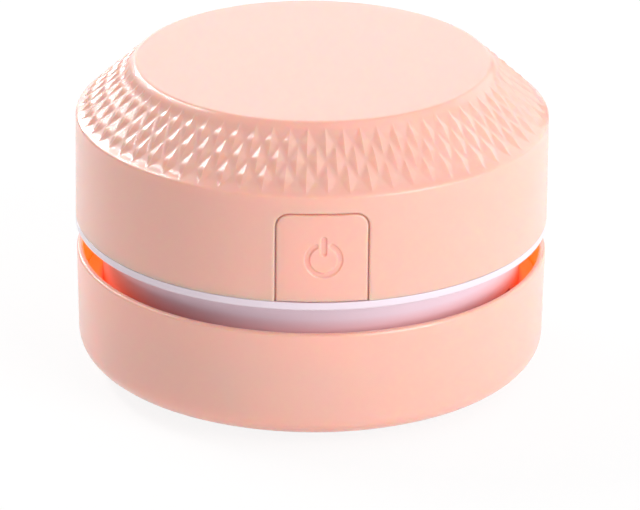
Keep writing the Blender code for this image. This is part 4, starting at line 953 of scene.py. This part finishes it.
def chassisShell():
    # The outline is turned about the axis. The vents are blocks of the grid left out of both faces of the
    # neck and joined by walls. Each screw sink is a block of the flange's underside whose square outline
    # is drawn in to a circle, with a blind tube above it.
    n, ring, sink = neck, body["postRingR"], neck["sinkR"]
    banks = withinHalfTurn(np.degrees(postAngles()))
    vents = (banks[:, None] + n["ventPitch"] * (np.arange(n["vents"]) - (n["vents"] - 1) / 2)).ravel()
    vents = withinHalfTurn(vents)
    ventTurn, sinkTurn = np.degrees(n["ventHalf"] / n["footR"]), np.degrees(sink / ring)
    near = np.array([0, 0.2, 0.45, 0.8]) * n["ventRound"]
    ventShares = np.concatenate([near / n["ventHalf"] - 1, 1 - near / n["ventHalf"]])
    sinkShares = np.array([-1.5, -1, -0.6, -0.2, 0.2, 0.6, 1, 1.5])
    angles = neckAngles([
        (vents[:, None] + ventTurn * ventShares).ravel(), (banks[:, None] + sinkTurn * sinkShares).ravel(),
    ])
    line = neckLine(np.concatenate([n["ventHigh"] - near, n["ventLow"] + near[::-1]]))
    r, z = line[:, 0], line[:, 1]
    turn = np.radians(angles)
    flatR, flatA = np.repeat(r[:, None], len(turn), 1), np.repeat(turn[None], len(r), 0)

    # Sinks
    under = np.isclose(z, body["flangeZ"], atol=1e-4) & (r > n["underFrom"]) & (r < n["underTo"])
    for swing in withinHalfTurn(turn[None] - np.radians(banks)[:, None], 2 * np.pi):
        px, py = swing[None] * ring, flatR - ring
        norm = np.maximum(np.abs(px), np.abs(py)) / sink
        fade = np.clip((1.5 - norm) / 0.5, 0, 1) * under[:, None] * (norm > 0.01)
        scale = 1 - (1 - norm * sink / np.maximum(np.hypot(px, py), 1e-6)) * fade
        flatR = np.where(fade > 0, ring + py * scale, flatR)
        flatA = np.where(fade > 0, flatA - swing[None] * (1 - scale), flatA)

    # Vents: the outline of each block is drawn in to a box with round corners
    flatZ = np.repeat(z[:, None], len(turn), 1)
    middle, tall = (n["ventHigh"] + n["ventLow"]) / 2, (n["ventHigh"] - n["ventLow"]) / 2
    for vent in vents:
        swing = np.radians(withinHalfTurn(angles - vent))
        px, pz = np.broadcast_arrays(swing[None] * n["footR"], z[:, None] - middle)
        norm = np.maximum(np.abs(px) / n["ventHalf"], np.abs(pz) / tall)
        onOutline = (np.abs(norm - 1) < 0.004) & (r[:, None] > n["innerFrom"])
        drawn = np.minimum(roundedShare(px, pz, n["ventHalf"], tall, n["ventRound"]), 1)
        scale = np.where(onOutline, drawn, 1)
        flatA = flatA - swing[None] * (1 - scale)
        flatZ = flatZ - pz * (1 - scale)
    points = around(flatR, flatA, flatZ).reshape(-1, 3)
    index = gridIndex(len(r), len(turn))
    wrapped = closedRows(closedColumns(index))
    keep = np.ones((len(r), len(turn)), bool)
    faces = []

    def rowAt(height, outside):
        face = (r > n["innerFrom"]) & ((r > n["outerFrom"]) == outside)
        return int(np.where(np.isclose(z, height, atol=1e-4) & face)[0][0])

    def columnsWithin(place, reach):
        inside = np.where(np.abs(withinHalfTurn(angles - place)) < reach + 0.06)[0]
        return inside.min(), inside.max()

    top, foot, topIn = rowAt(n["ventHigh"], True), rowAt(n["ventLow"], True), rowAt(n["ventHigh"], False)
    step = 1 if rowAt(n["ventLow"], False) > topIn else -1
    low, high = sorted((topIn, topIn + step * (foot - top)))
    for vent in vents:
        left, right = columnsWithin(vent, ventTurn)
        keep[top:foot, left:right] = False
        keep[low:high, left:right] = False
        rows, columns = blockRound(top, foot, left, right)
        faces.append(stripQuads(index[rows, columns], index[topIn + step * (rows - top), columns]))
    extra, count = [], len(points)
    underRows = np.where(under & (np.abs(r - ring) < sink + 0.01))[0]
    for bank in banks:
        block = (underRows.min(), underRows.max(), *columnsWithin(bank, sinkTurn))
        keep[block[0]:block[1], block[2]:block[3]] = False
        loop = index[blockRound(*block)][:-1]
        fresh = np.arange(count, count + len(loop))
        count += len(loop)
        extra.append(points[loop] + np.array([0, 0, n["sinkZ"] - body["flangeZ"]]))
        faces += [stripQuads(closedRows(loop), closedRows(fresh)), fresh[None]]
    return np.vstack([points, *extra]), [gridQuads(wrapped, keep), *faces]


def chassis():
    n = neck
    base = body["flangeTopZ"] - overlap
    guard = star(n["spokes"], n["guardHub"], n["guardBar"], n["eyeR"] + overlap)
    shapes = [chassisShell(), prism(guard, n["fanFloorZ"], n["fanFloorZ"] + n["fanFloorT"], 0.25)]
    post = prism(circle(n["postR"], 40), base, n["postZ"], 0.3)
    webFrom, webTo = -n["footR"] + n["wall"] - overlap, -body["postRingR"] - n["postR"] / 2
    web = box(-n["webHalf"], n["webHalf"], webFrom, webTo, base, n["webTop"], 0.15)
    for (x, y), angle in zip(postPlaces(), postAngles()):
        shapes += [moved(post, x, y), swung(web, angle)]
    return joined(shapes)


makePiece("neckShell", chassis(), "main_body", neckGloss, ["chassis"])


# Seal

seal = {"innerR": 40.9, "outerR": 41.9, "lip": 0.45, "low": 14.5, "high": 15.5}


def sealRing():
    # A soft ring with a bulging outer lip: its outline's outer side is a half ellipse.
    q = seal
    angle = np.linspace(-np.pi / 2, np.pi / 2, 13)
    middle, half = (q["low"] + q["high"]) / 2, (q["high"] - q["low"]) / 2
    lip = np.stack([q["outerR"] - q["lip"] * (1 - np.cos(angle)), middle + half * np.sin(angle)], -1)
    back = np.array([[q["innerR"], q["high"]], [q["innerR"], q["low"]]])
    return turned(np.vstack([lip, back]), 256)


makePiece("sealRing", sealRing(), "main_body", greyRubber, ["cup_seal"])


# Filter

filterParts = {
    "innerR": 20.2, "outerR": 21.6, "rimR": 23.6, "low": 12.4, "rimTop": 13.5, "top": 17.7, "spokes": 6,
    "hubR": 3.5, "spokeW": 1.4, "tabHalfX": 0.6, "tabMidY": -14.2, "tabHalfY": 3.0, "tabLow": 9.8,
    "screenZ": 14.05, "screenR": 19.9, "wirePitch": 1.0, "wireR": 0.11, "wireRise": 0.12, "wireSides": 6,
    "screenRimW": 0.7, "screenRimHalf": 0.25, "padLow": 14.6, "padHigh": 16.8, "padSwell": 0.05,
    "padRings": (0, 5, 10, 15),
}


def filterFrame():
    f = filterParts
    line = roundedLine([
        (f["innerR"], f["low"], 0.25), (f["rimR"], f["low"], 0.35), (f["rimR"], f["rimTop"], 0.35),
        (f["outerR"], f["rimTop"], 0.2), (f["outerR"], f["top"], 0.35), (f["innerR"], f["top"], 0.35),
    ], 5)
    spokes = star(f["spokes"], f["hubR"], f["spokeW"], f["innerR"] + overlap)
    cross = prism(spokes, f["low"], f["rimTop"], 0.25)
    outline = roundedBox(f["tabHalfX"], f["tabHalfY"], 0.5, 5, f["tabMidY"])
    tab = prism(outline, f["tabLow"], f["low"] + 0.5, 0.3)
    return joined([turned(line, 192), cross, tab])


def wovenScreen():
    # Two sets of round wires. Wire k of a set runs straight in plan and rises and dips as a cosine of its
    # length plus k half turns, so each wire passes over one neighbour and under the next.
    f = filterParts
    pitch, radius, wire, z = f["wirePitch"], f["screenR"] - 0.3, f["wireR"], f["screenZ"]
    k = np.arange(-int(radius / pitch), int(radius / pitch) + 1)
    offset = k * pitch
    along = np.sqrt(radius**2 - offset**2)[:, None] * np.linspace(-1, 1, 121)[None]
    wave = f["wireRise"] * np.cos(np.pi * (along / pitch + k[:, None]))
    turn = fullTurn(f["wireSides"])
    side = np.broadcast_to(offset[:, None, None] + wire * np.cos(turn), (*along.shape, len(turn)))
    length = np.broadcast_to(along[..., None], side.shape)
    index = closedColumns(np.arange(side.size).reshape(side.shape))
    faces = [gridQuads(index), index[:, 0, :-1][:, ::-1], index[:, -1, :-1]]
    across = np.stack([side, length, (z + wave)[..., None] + wire * np.sin(turn)], -1)
    back = np.stack([length, side, (z - wave)[..., None] + wire * np.sin(turn)], -1)
    rimHalf = f["screenRimHalf"]
    rim = rectangle(f["screenR"] - f["screenRimW"], f["screenR"], z - rimHalf, z + rimHalf, 0.1, 3)
    return joined([
        (across.reshape(-1, 3), [q[:, ::-1] for q in faces]), (back.reshape(-1, 3), faces), turned(rim, 128),
    ])


def filterPad():
    # A disc with soft rims whose faces swell and dip by a few hundredths, as cut foam does.
    f = filterParts
    radius, high, low = f["screenR"], f["padHigh"], f["padLow"]
    upper = [(r, high, 0) for r in f["padRings"]]
    under = [(r, low, 0) for r in f["padRings"][::-1]]
    line = roundedLine([*upper, (radius, high, 0.5), (radius, low, 0.5), *under], 5, closed=False)
    points, faces = capped(line, 96)
    inner = np.hypot(points[:, 0], points[:, 1]) < radius - 0.6
    points[:, 2] += inner * f["padSwell"] * np.sin(points[:, 0] * 1.1) * np.cos(points[:, 1] * 0.9)
    return points, faces


makePiece("filterFrame", filterFrame(), "filter", greyMoulded, ["filter_frame"])
makePiece("wovenScreen", wovenScreen(), "filter", nylonWhite, ["filter_screen"])
makePiece("filterPad", filterPad(), "filter", foamGrey, ["filter_pad"])


# Brushes and feet

brush = {
    "midR": 15.5, "backHalf": 2.2, "backLow": 3.6, "backHigh": 4.7, "bristleHalf": 1.55, "tipZ": 0.3,
    "arc": 70.0, "rowsAcross": 7, "tuftsAlong": 62, "strandR": 0.13, "splay": 0.12,
}


def brushStrip(strip):
    # The strands stand on a staggered grid of (radius, angle). Each is a tapered square rod, leant outwards
    # from the strip's middle and shortened by a share that repeats with no visible order.
    b = brush
    start = np.radians(90 * strip - b["arc"] / 2)
    end = start + np.radians(b["arc"])
    inner, outer = b["midR"] - b["backHalf"], b["midR"] + b["backHalf"]
    line = rectangle(inner, outer, b["backLow"], b["backHigh"], 0.15, 3)[::-1]
    angle = np.linspace(start, end, 40)
    points = around(line[:, :1], angle[None], line[:, 1:])
    index = gridIndex(len(line), len(angle))
    ends = [index[:, 0][None], index[:, -1][::-1][None]]
    backing = (points.reshape(-1, 3), [gridQuads(closedRows(index)), *ends])
    across, along = np.meshgrid(np.arange(b["rowsAcross"]), np.arange(b["tuftsAlong"]), indexing="ij")
    across, along = across.ravel(), along.ravel()
    chance = np.modf(np.abs(np.sin(across * 12.9898 + along * 78.233 + strip * 37.7) * 43758.5))[0]
    other = np.modf(chance * 91.7 + along * 0.618)[0]
    share = across / (b["rowsAcross"] - 1) * 2 - 1
    r = b["midR"] + share * (b["bristleHalf"] - 0.2) + (chance - 0.5) * 0.2
    tuft = along + 0.5 * (across % 2) + 0.5 + (other - 0.5) * 0.4
    a = start + tuft / (b["tuftsAlong"] + 0.5) * (end - start)
    tipR = r + share * b["splay"] + (other - 0.5) * 0.25
    tipA = a + (chance - 0.5) * 0.02
    tipZ = b["tipZ"] + chance * 0.25
    root = around(r, a, b["backLow"] + 0.2)
    tip = around(tipR, tipA, tipZ)
    corner = np.array([[-1, -1, 0], [1, -1, 0], [1, 1, 0], [-1, 1, 0]]) * b["strandR"] * 0.7
    middle = root * 0.55 + tip * 0.45 + around(1.0, a, 0.0) * (share * 0.05)[:, None]
    rods = np.stack([root[:, None] + corner, middle[:, None] + corner * 0.9, tip[:, None] + corner * 0.6], 1)
    index = np.arange(rods.size // 3).reshape(len(a), 3, 4)
    faces = [gridQuads(closedColumns(index)), index[:, 0], index[:, -1][:, ::-1]]
    strands = (rods.reshape(-1, 3), faces)
    return joined([backing, strands])


for strip in range(4):
    name, node = f"brushStrip{strip + 1}", f"brush_strip_{strip + 1}"
    makePiece(name, brushStrip(strip), "dust_cup", bristleNylon, [node])


foot = {
    "ringR": 30.0, "radius": 3.0, "top": 3.0, "edge": 0.5, "treadW": 1.1, "hollow": 0.18, "hollowRun": 0.15,
}


def glideFoot(number):
    f = foot
    tread, hollow = f["radius"] - f["treadW"], f["hollow"]
    line = roundedLine([
        (0, f["top"], 0), (f["radius"], f["top"], 0.15), (f["radius"], 0, f["edge"]), (tread, 0, 0.1),
        (tread - f["hollowRun"], hollow, 0.1), (0, hollow, 0),
    ], 6, closed=False)
    x, y, _ = around(f["ringR"], np.radians(45 + 90 * number), 0.0)
    return capped(line, 48, (x, y))


for number in range(4):
    name, node = f"glideFoot{number + 1}", f"glide_foot_{number + 1}"
    makePiece(name, glideFoot(number), "dust_cup", greyRubber, [node])


# Charging socket

socket = {
    "halfW": 4.45, "halfH": 1.6, "round": 1.45, "wall": 0.35, "mouthY": 41.2, "backY": 33.9,
    "tongueHalfW": 3.35, "tongueHalfT": 0.35, "tongueY": 35.2, "tongueEnd": 39.8,
    "pads": 8, "padSpread": 2.6, "padHalfW": 0.16, "padHalfT": 0.04,
}


def socketShell():
    # The socket's outline with a thin wall carried round it: out along the outer face, over the lip and
    # back down the inside to a closed bottom.
    k = socket
    outline = roundedBox(k["halfW"], k["halfH"], k["round"], 8)
    length = k["mouthY"] - k["backY"]
    line = [(0.15, 0), (0, 0.15), (0, length - 0.12), (0.04, length - 0.04), (0.12, length)]
    line += [(k["wall"] - 0.1, length), (k["wall"], length - 0.12), (k["wall"], 1.0)]
    return laid(carried(outline, line[::-1]), k["backY"], body["socketZ"])


def socketTongue():
    k = socket
    outline = roundedBox(k["tongueHalfW"], k["tongueHalfT"], 0.15, 3)
    return laid(prism(outline, k["tongueY"], k["tongueEnd"], 0.15), z=body["socketZ"])


def socketPads():
    # Small flat contacts in a row, alike above and below the tongue.
    k, shapes = socket, []
    wide, thick, low, high = k["padHalfW"], k["padHalfT"], k["tongueY"] + 0.6, k["tongueEnd"] - 0.4
    for x in np.linspace(-k["padSpread"], k["padSpread"], k["pads"]):
        for z in (body["socketZ"] - k["tongueHalfT"], body["socketZ"] + k["tongueHalfT"]):
            shapes.append(box(x - wide, x + wide, low, high, z - thick, z + thick, 0.02))
    return joined(shapes)


makePiece("socketShell", socketShell(), "main_body", platedSteel, ["usb_shell"])
makePiece("socketTongue", socketTongue(), "main_body", nylonBlack, ["usb_tongue"])
makePiece("socketPads", socketPads(), "main_body", sinteredBronze, [])


# Screws

screwKinds = {
    "housing_screw": {"headR": 2.3, "headH": 1.5, "seat": 16.0, "shankR": 1.2, "top": 33.1, "pitch": 0.9},
    "board_screw": {"headR": 1.8, "headH": 1.0, "seat": 40.7, "shankR": 0.9, "top": 47.3, "pitch": 0.7},
    "motor_screw": {"headR": 1.5, "headH": 0.7, "seat": 25.0, "shankR": 0.8, "top": 29.5, "pitch": 0.5},
}


def crossScrew(kind, place):
    # The head is a low dome with a cross sunk into it, its sides sloping a little. The shank's
    # radius follows a triangle wave of its height over the pitch minus its angle over a full turn.
    k = screwKinds[kind]
    angle = fullTurn(48)
    share = np.array([0.12, 0.24, 0.34, 0.42, 0.5, 0.58, 0.66, 0.76, 0.86, 0.94, 1.0])
    r = k["headR"] * share
    domed = k["seat"] + k["headH"] * 0.3 * share**4
    x, y = r[:, None] * np.sin(angle), r[:, None] * np.cos(angle)
    arm, wide = k["headR"] * 0.6, k["headR"] * 0.14
    cross = np.minimum(
        np.maximum(np.abs(x) - wide, np.abs(y) - arm), np.maximum(np.abs(y) - wide, np.abs(x) - arm)
    )
    deep = k["headH"] * 0.55
    sunk = deep * np.clip(0.5 - cross / (0.16 * k["headR"]), 0, 1)
    head = around(r[:, None], angle, domed[:, None] + sunk)
    under = k["seat"] + k["headH"]
    sides = around(np.array([[k["headR"]], [k["shankR"]]]), angle, np.array([[under], [under]]))
    heights = np.linspace(under + 0.2, k["top"] - 0.5, int((k["top"] - under) / k["pitch"] * 6))
    wave = np.abs((heights[:, None] / k["pitch"] - angle / (2 * np.pi)) % 1 * 2 - 1)
    shank = around(k["shankR"] - 0.22 * wave, angle, heights[:, None])
    tip = around(k["shankR"] * 0.5, angle, np.full((1, 1), k["top"] - 0.05))
    grid = np.concatenate([head, sides, shank, tip])[::-1]
    return moved(fanned(grid, k["top"], k["seat"] + deep), *place)


screwPlaces = {
    "housing_screw": postPlaces(), "board_screw": boardPlaces, "motor_screw": [(8.0, 0.0), (-8.0, 0.0)],
}
for kind, places in screwPlaces.items():
    for number, place in enumerate(places, 1):
        name = kind.split("_")[0] + "Screw" + str(number)
        makePiece(name, crossScrew(kind, place), "main_body", platedSteel, [f"{kind}_{number}"])


# Carried CAD nodes get their finish

finishes = {
    nylonWhite: ["motor_plate"],
    nylonBlack: ["motor_end_cap", "tact_switch", "switch_plunger", "impeller"],
    platedSteel: ["motor_can", "motor_shaft"],
    sinteredBronze: ["bush_front", "bush_rear", "motor_terminal_1", "motor_terminal_2"],
    foamGrey: ["battery_pad"],
    cellFoil: ["battery_cell"],
    boardMask: ["circuit_board"],
    redSleeve: ["motor_lead_1"],
    blackSleeve: ["motor_lead_2"],
}
for finish, names in finishes.items():
    for name in names:
        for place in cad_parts[name].material_slots:
            place.material = finish
print("carried nodes finished")


# Floor, light and camera

studio = {
    "floorRgb": (250, 250, 250), "floorHalf": 4000.0, "floorSeen": 0.88, "floorGlossy": 0.6, "world": 0.32,
    "lamps": {  # degrees round from the button towards +X, degrees up, metres wide, watts
        "rightFront": (45, 25, 0.6, 7.0), "back": (180, 15, 0.8, 2.6), "rightRear": (130, 25, 0.6, 2.0),
        "rightTop": (70, 60, 0.6, 1.1), "rightLow": (60, 6, 0.4, 1.0),
        # a slanting row that the upper left faces of the pyramids mirror
        "leftFirst": (-150, 18, 0.17, 1.6), "leftSecond": (-138, 30, 0.17, 1.6),
        "leftThird": (-126, 41, 0.17, 1.6), "leftFourth": (-113, 52, 0.17, 1.6),
    },
}

# The fitted pinhole view: its angles, its distance in metres from a point on the body's axis, its focal
# length in pixels, and the pixels at the picture's middle and at that point
view = {
    "elevation": np.radians(22.1), "azimuth": np.radians(2.6), "roll": np.radians(0.55), "distance": 0.6966,
    "focal": 3777.7, "targetZ": 0.0309, "pictureWide": 640,
    "middlePixel": (320, 255), "targetPixel": (311.5, 200.2),
}


def studioFloor():
    size = studio["floorHalf"] * mm
    mesh = bpy.data.meshes.new("studioFloor")
    corners = [(-size, -size, 0), (size, -size, 0), (size, size, 0), (-size, size, 0)]
    mesh.from_pydata(corners, [], [(0, 1, 2, 3)])
    floor = placed("studioFloor", mesh)
    paint = Paint("floorWhite", Base_Color=linear(studio["floorRgb"]), Roughness=0.9)
    seen = paint.node("ShaderNodeLightPath", out="Is Camera Ray")
    glossy = paint.node("ShaderNodeLightPath", out="Is Glossy Ray")
    light = paint.node("ShaderNodeEmission", {}, {"Color": (1, 1, 1, 1), "Strength": 1.0})
    share = seen * studio["floorSeen"] + glossy * studio["floorGlossy"]
    white = paint.node("ShaderNodeMixShader", {}, {0: share})
    paint.tree.links.new(paint.shader.outputs[0], white.socket.node.inputs[1])
    paint.tree.links.new(light.socket, white.socket.node.inputs[2])
    paint.tree.links.new(white.socket, paint.tree.nodes["Material Output"].inputs["Surface"])
    mesh.materials.append(paint.material)


def studioWorld():
    world = bpy.data.worlds.new("studioWorld")
    world.use_nodes = True
    tree = world.node_tree
    seen = tree.nodes.new("ShaderNodeLightPath")
    mix = tree.nodes.new("ShaderNodeMixShader")
    plain, white = tree.nodes["Background"], tree.nodes.new("ShaderNodeBackground")
    for background, strength in ((plain, studio["world"]), (white, 1.0)):
        background.inputs["Color"].default_value = (1, 1, 1, 1)
        background.inputs["Strength"].default_value = strength
    tree.links.new(seen.outputs["Is Camera Ray"], mix.inputs[0])
    tree.links.new(plain.outputs[0], mix.inputs[1])
    tree.links.new(white.outputs[0], mix.inputs[2])
    tree.links.new(mix.outputs[0], tree.nodes["World Output"].inputs["Surface"])
    bpy.context.scene.world = world


def direction(turn, rise):
    # A unit vector, turned from the button's side towards +X and then raised.
    return Vector((np.sin(turn) * np.cos(rise), -np.cos(turn) * np.cos(rise), np.sin(rise)))


def softLamp(name, turn, rise, size, power):
    # A square panel one metre from the body's middle, facing it.
    away = direction(np.radians(turn), np.radians(rise))
    lamp = bpy.data.lights.new(name, "AREA")
    lamp.size, lamp.energy = size, power
    made = placed(name, lamp)
    made.location = away + Vector((0, 0, 0.03))
    made.rotation_euler = away.to_track_quat("Z", "Y").to_euler()


def photoCamera():
    # The view's axis is tilted from the line through the target by what separates the two pixels.
    v, azimuth, roll = view, view["azimuth"], view["roll"]
    back = direction(-azimuth, v["elevation"])
    right = Vector((np.cos(azimuth), -np.sin(azimuth), 0))
    up = back.cross(right)
    dx, dy = (np.array(v["middlePixel"]) - v["targetPixel"]) / v["focal"]
    c, s = np.cos(roll), np.sin(roll)
    dx, dy = c * dx + s * dy, -s * dx + c * dy
    axis = (back - right * dx + up * dy).normalized()
    side = (right - axis * right.dot(axis)).normalized()
    turn = Matrix((side, axis.cross(side), axis)).transposed() @ Matrix.Rotation(roll, 3, "Z")
    lens = bpy.data.cameras.new("photoCamera")
    lens.sensor_width = 36.0
    lens.lens = v["focal"] * lens.sensor_width / v["pictureWide"]
    lens.clip_start, lens.clip_end = 0.01, 100
    made = placed("photoCamera", lens)
    eye = Vector((0, 0, v["targetZ"])) + back * v["distance"]
    made.matrix_world = Matrix.Translation(eye) @ turn.to_4x4()
    bpy.context.scene.camera = made


studioFloor()
studioWorld()
for name, settings in studio["lamps"].items():
    softLamp(name, *settings)
photoCamera()
bpy.context.scene.view_settings.view_transform = "Standard"
print("studio ready")
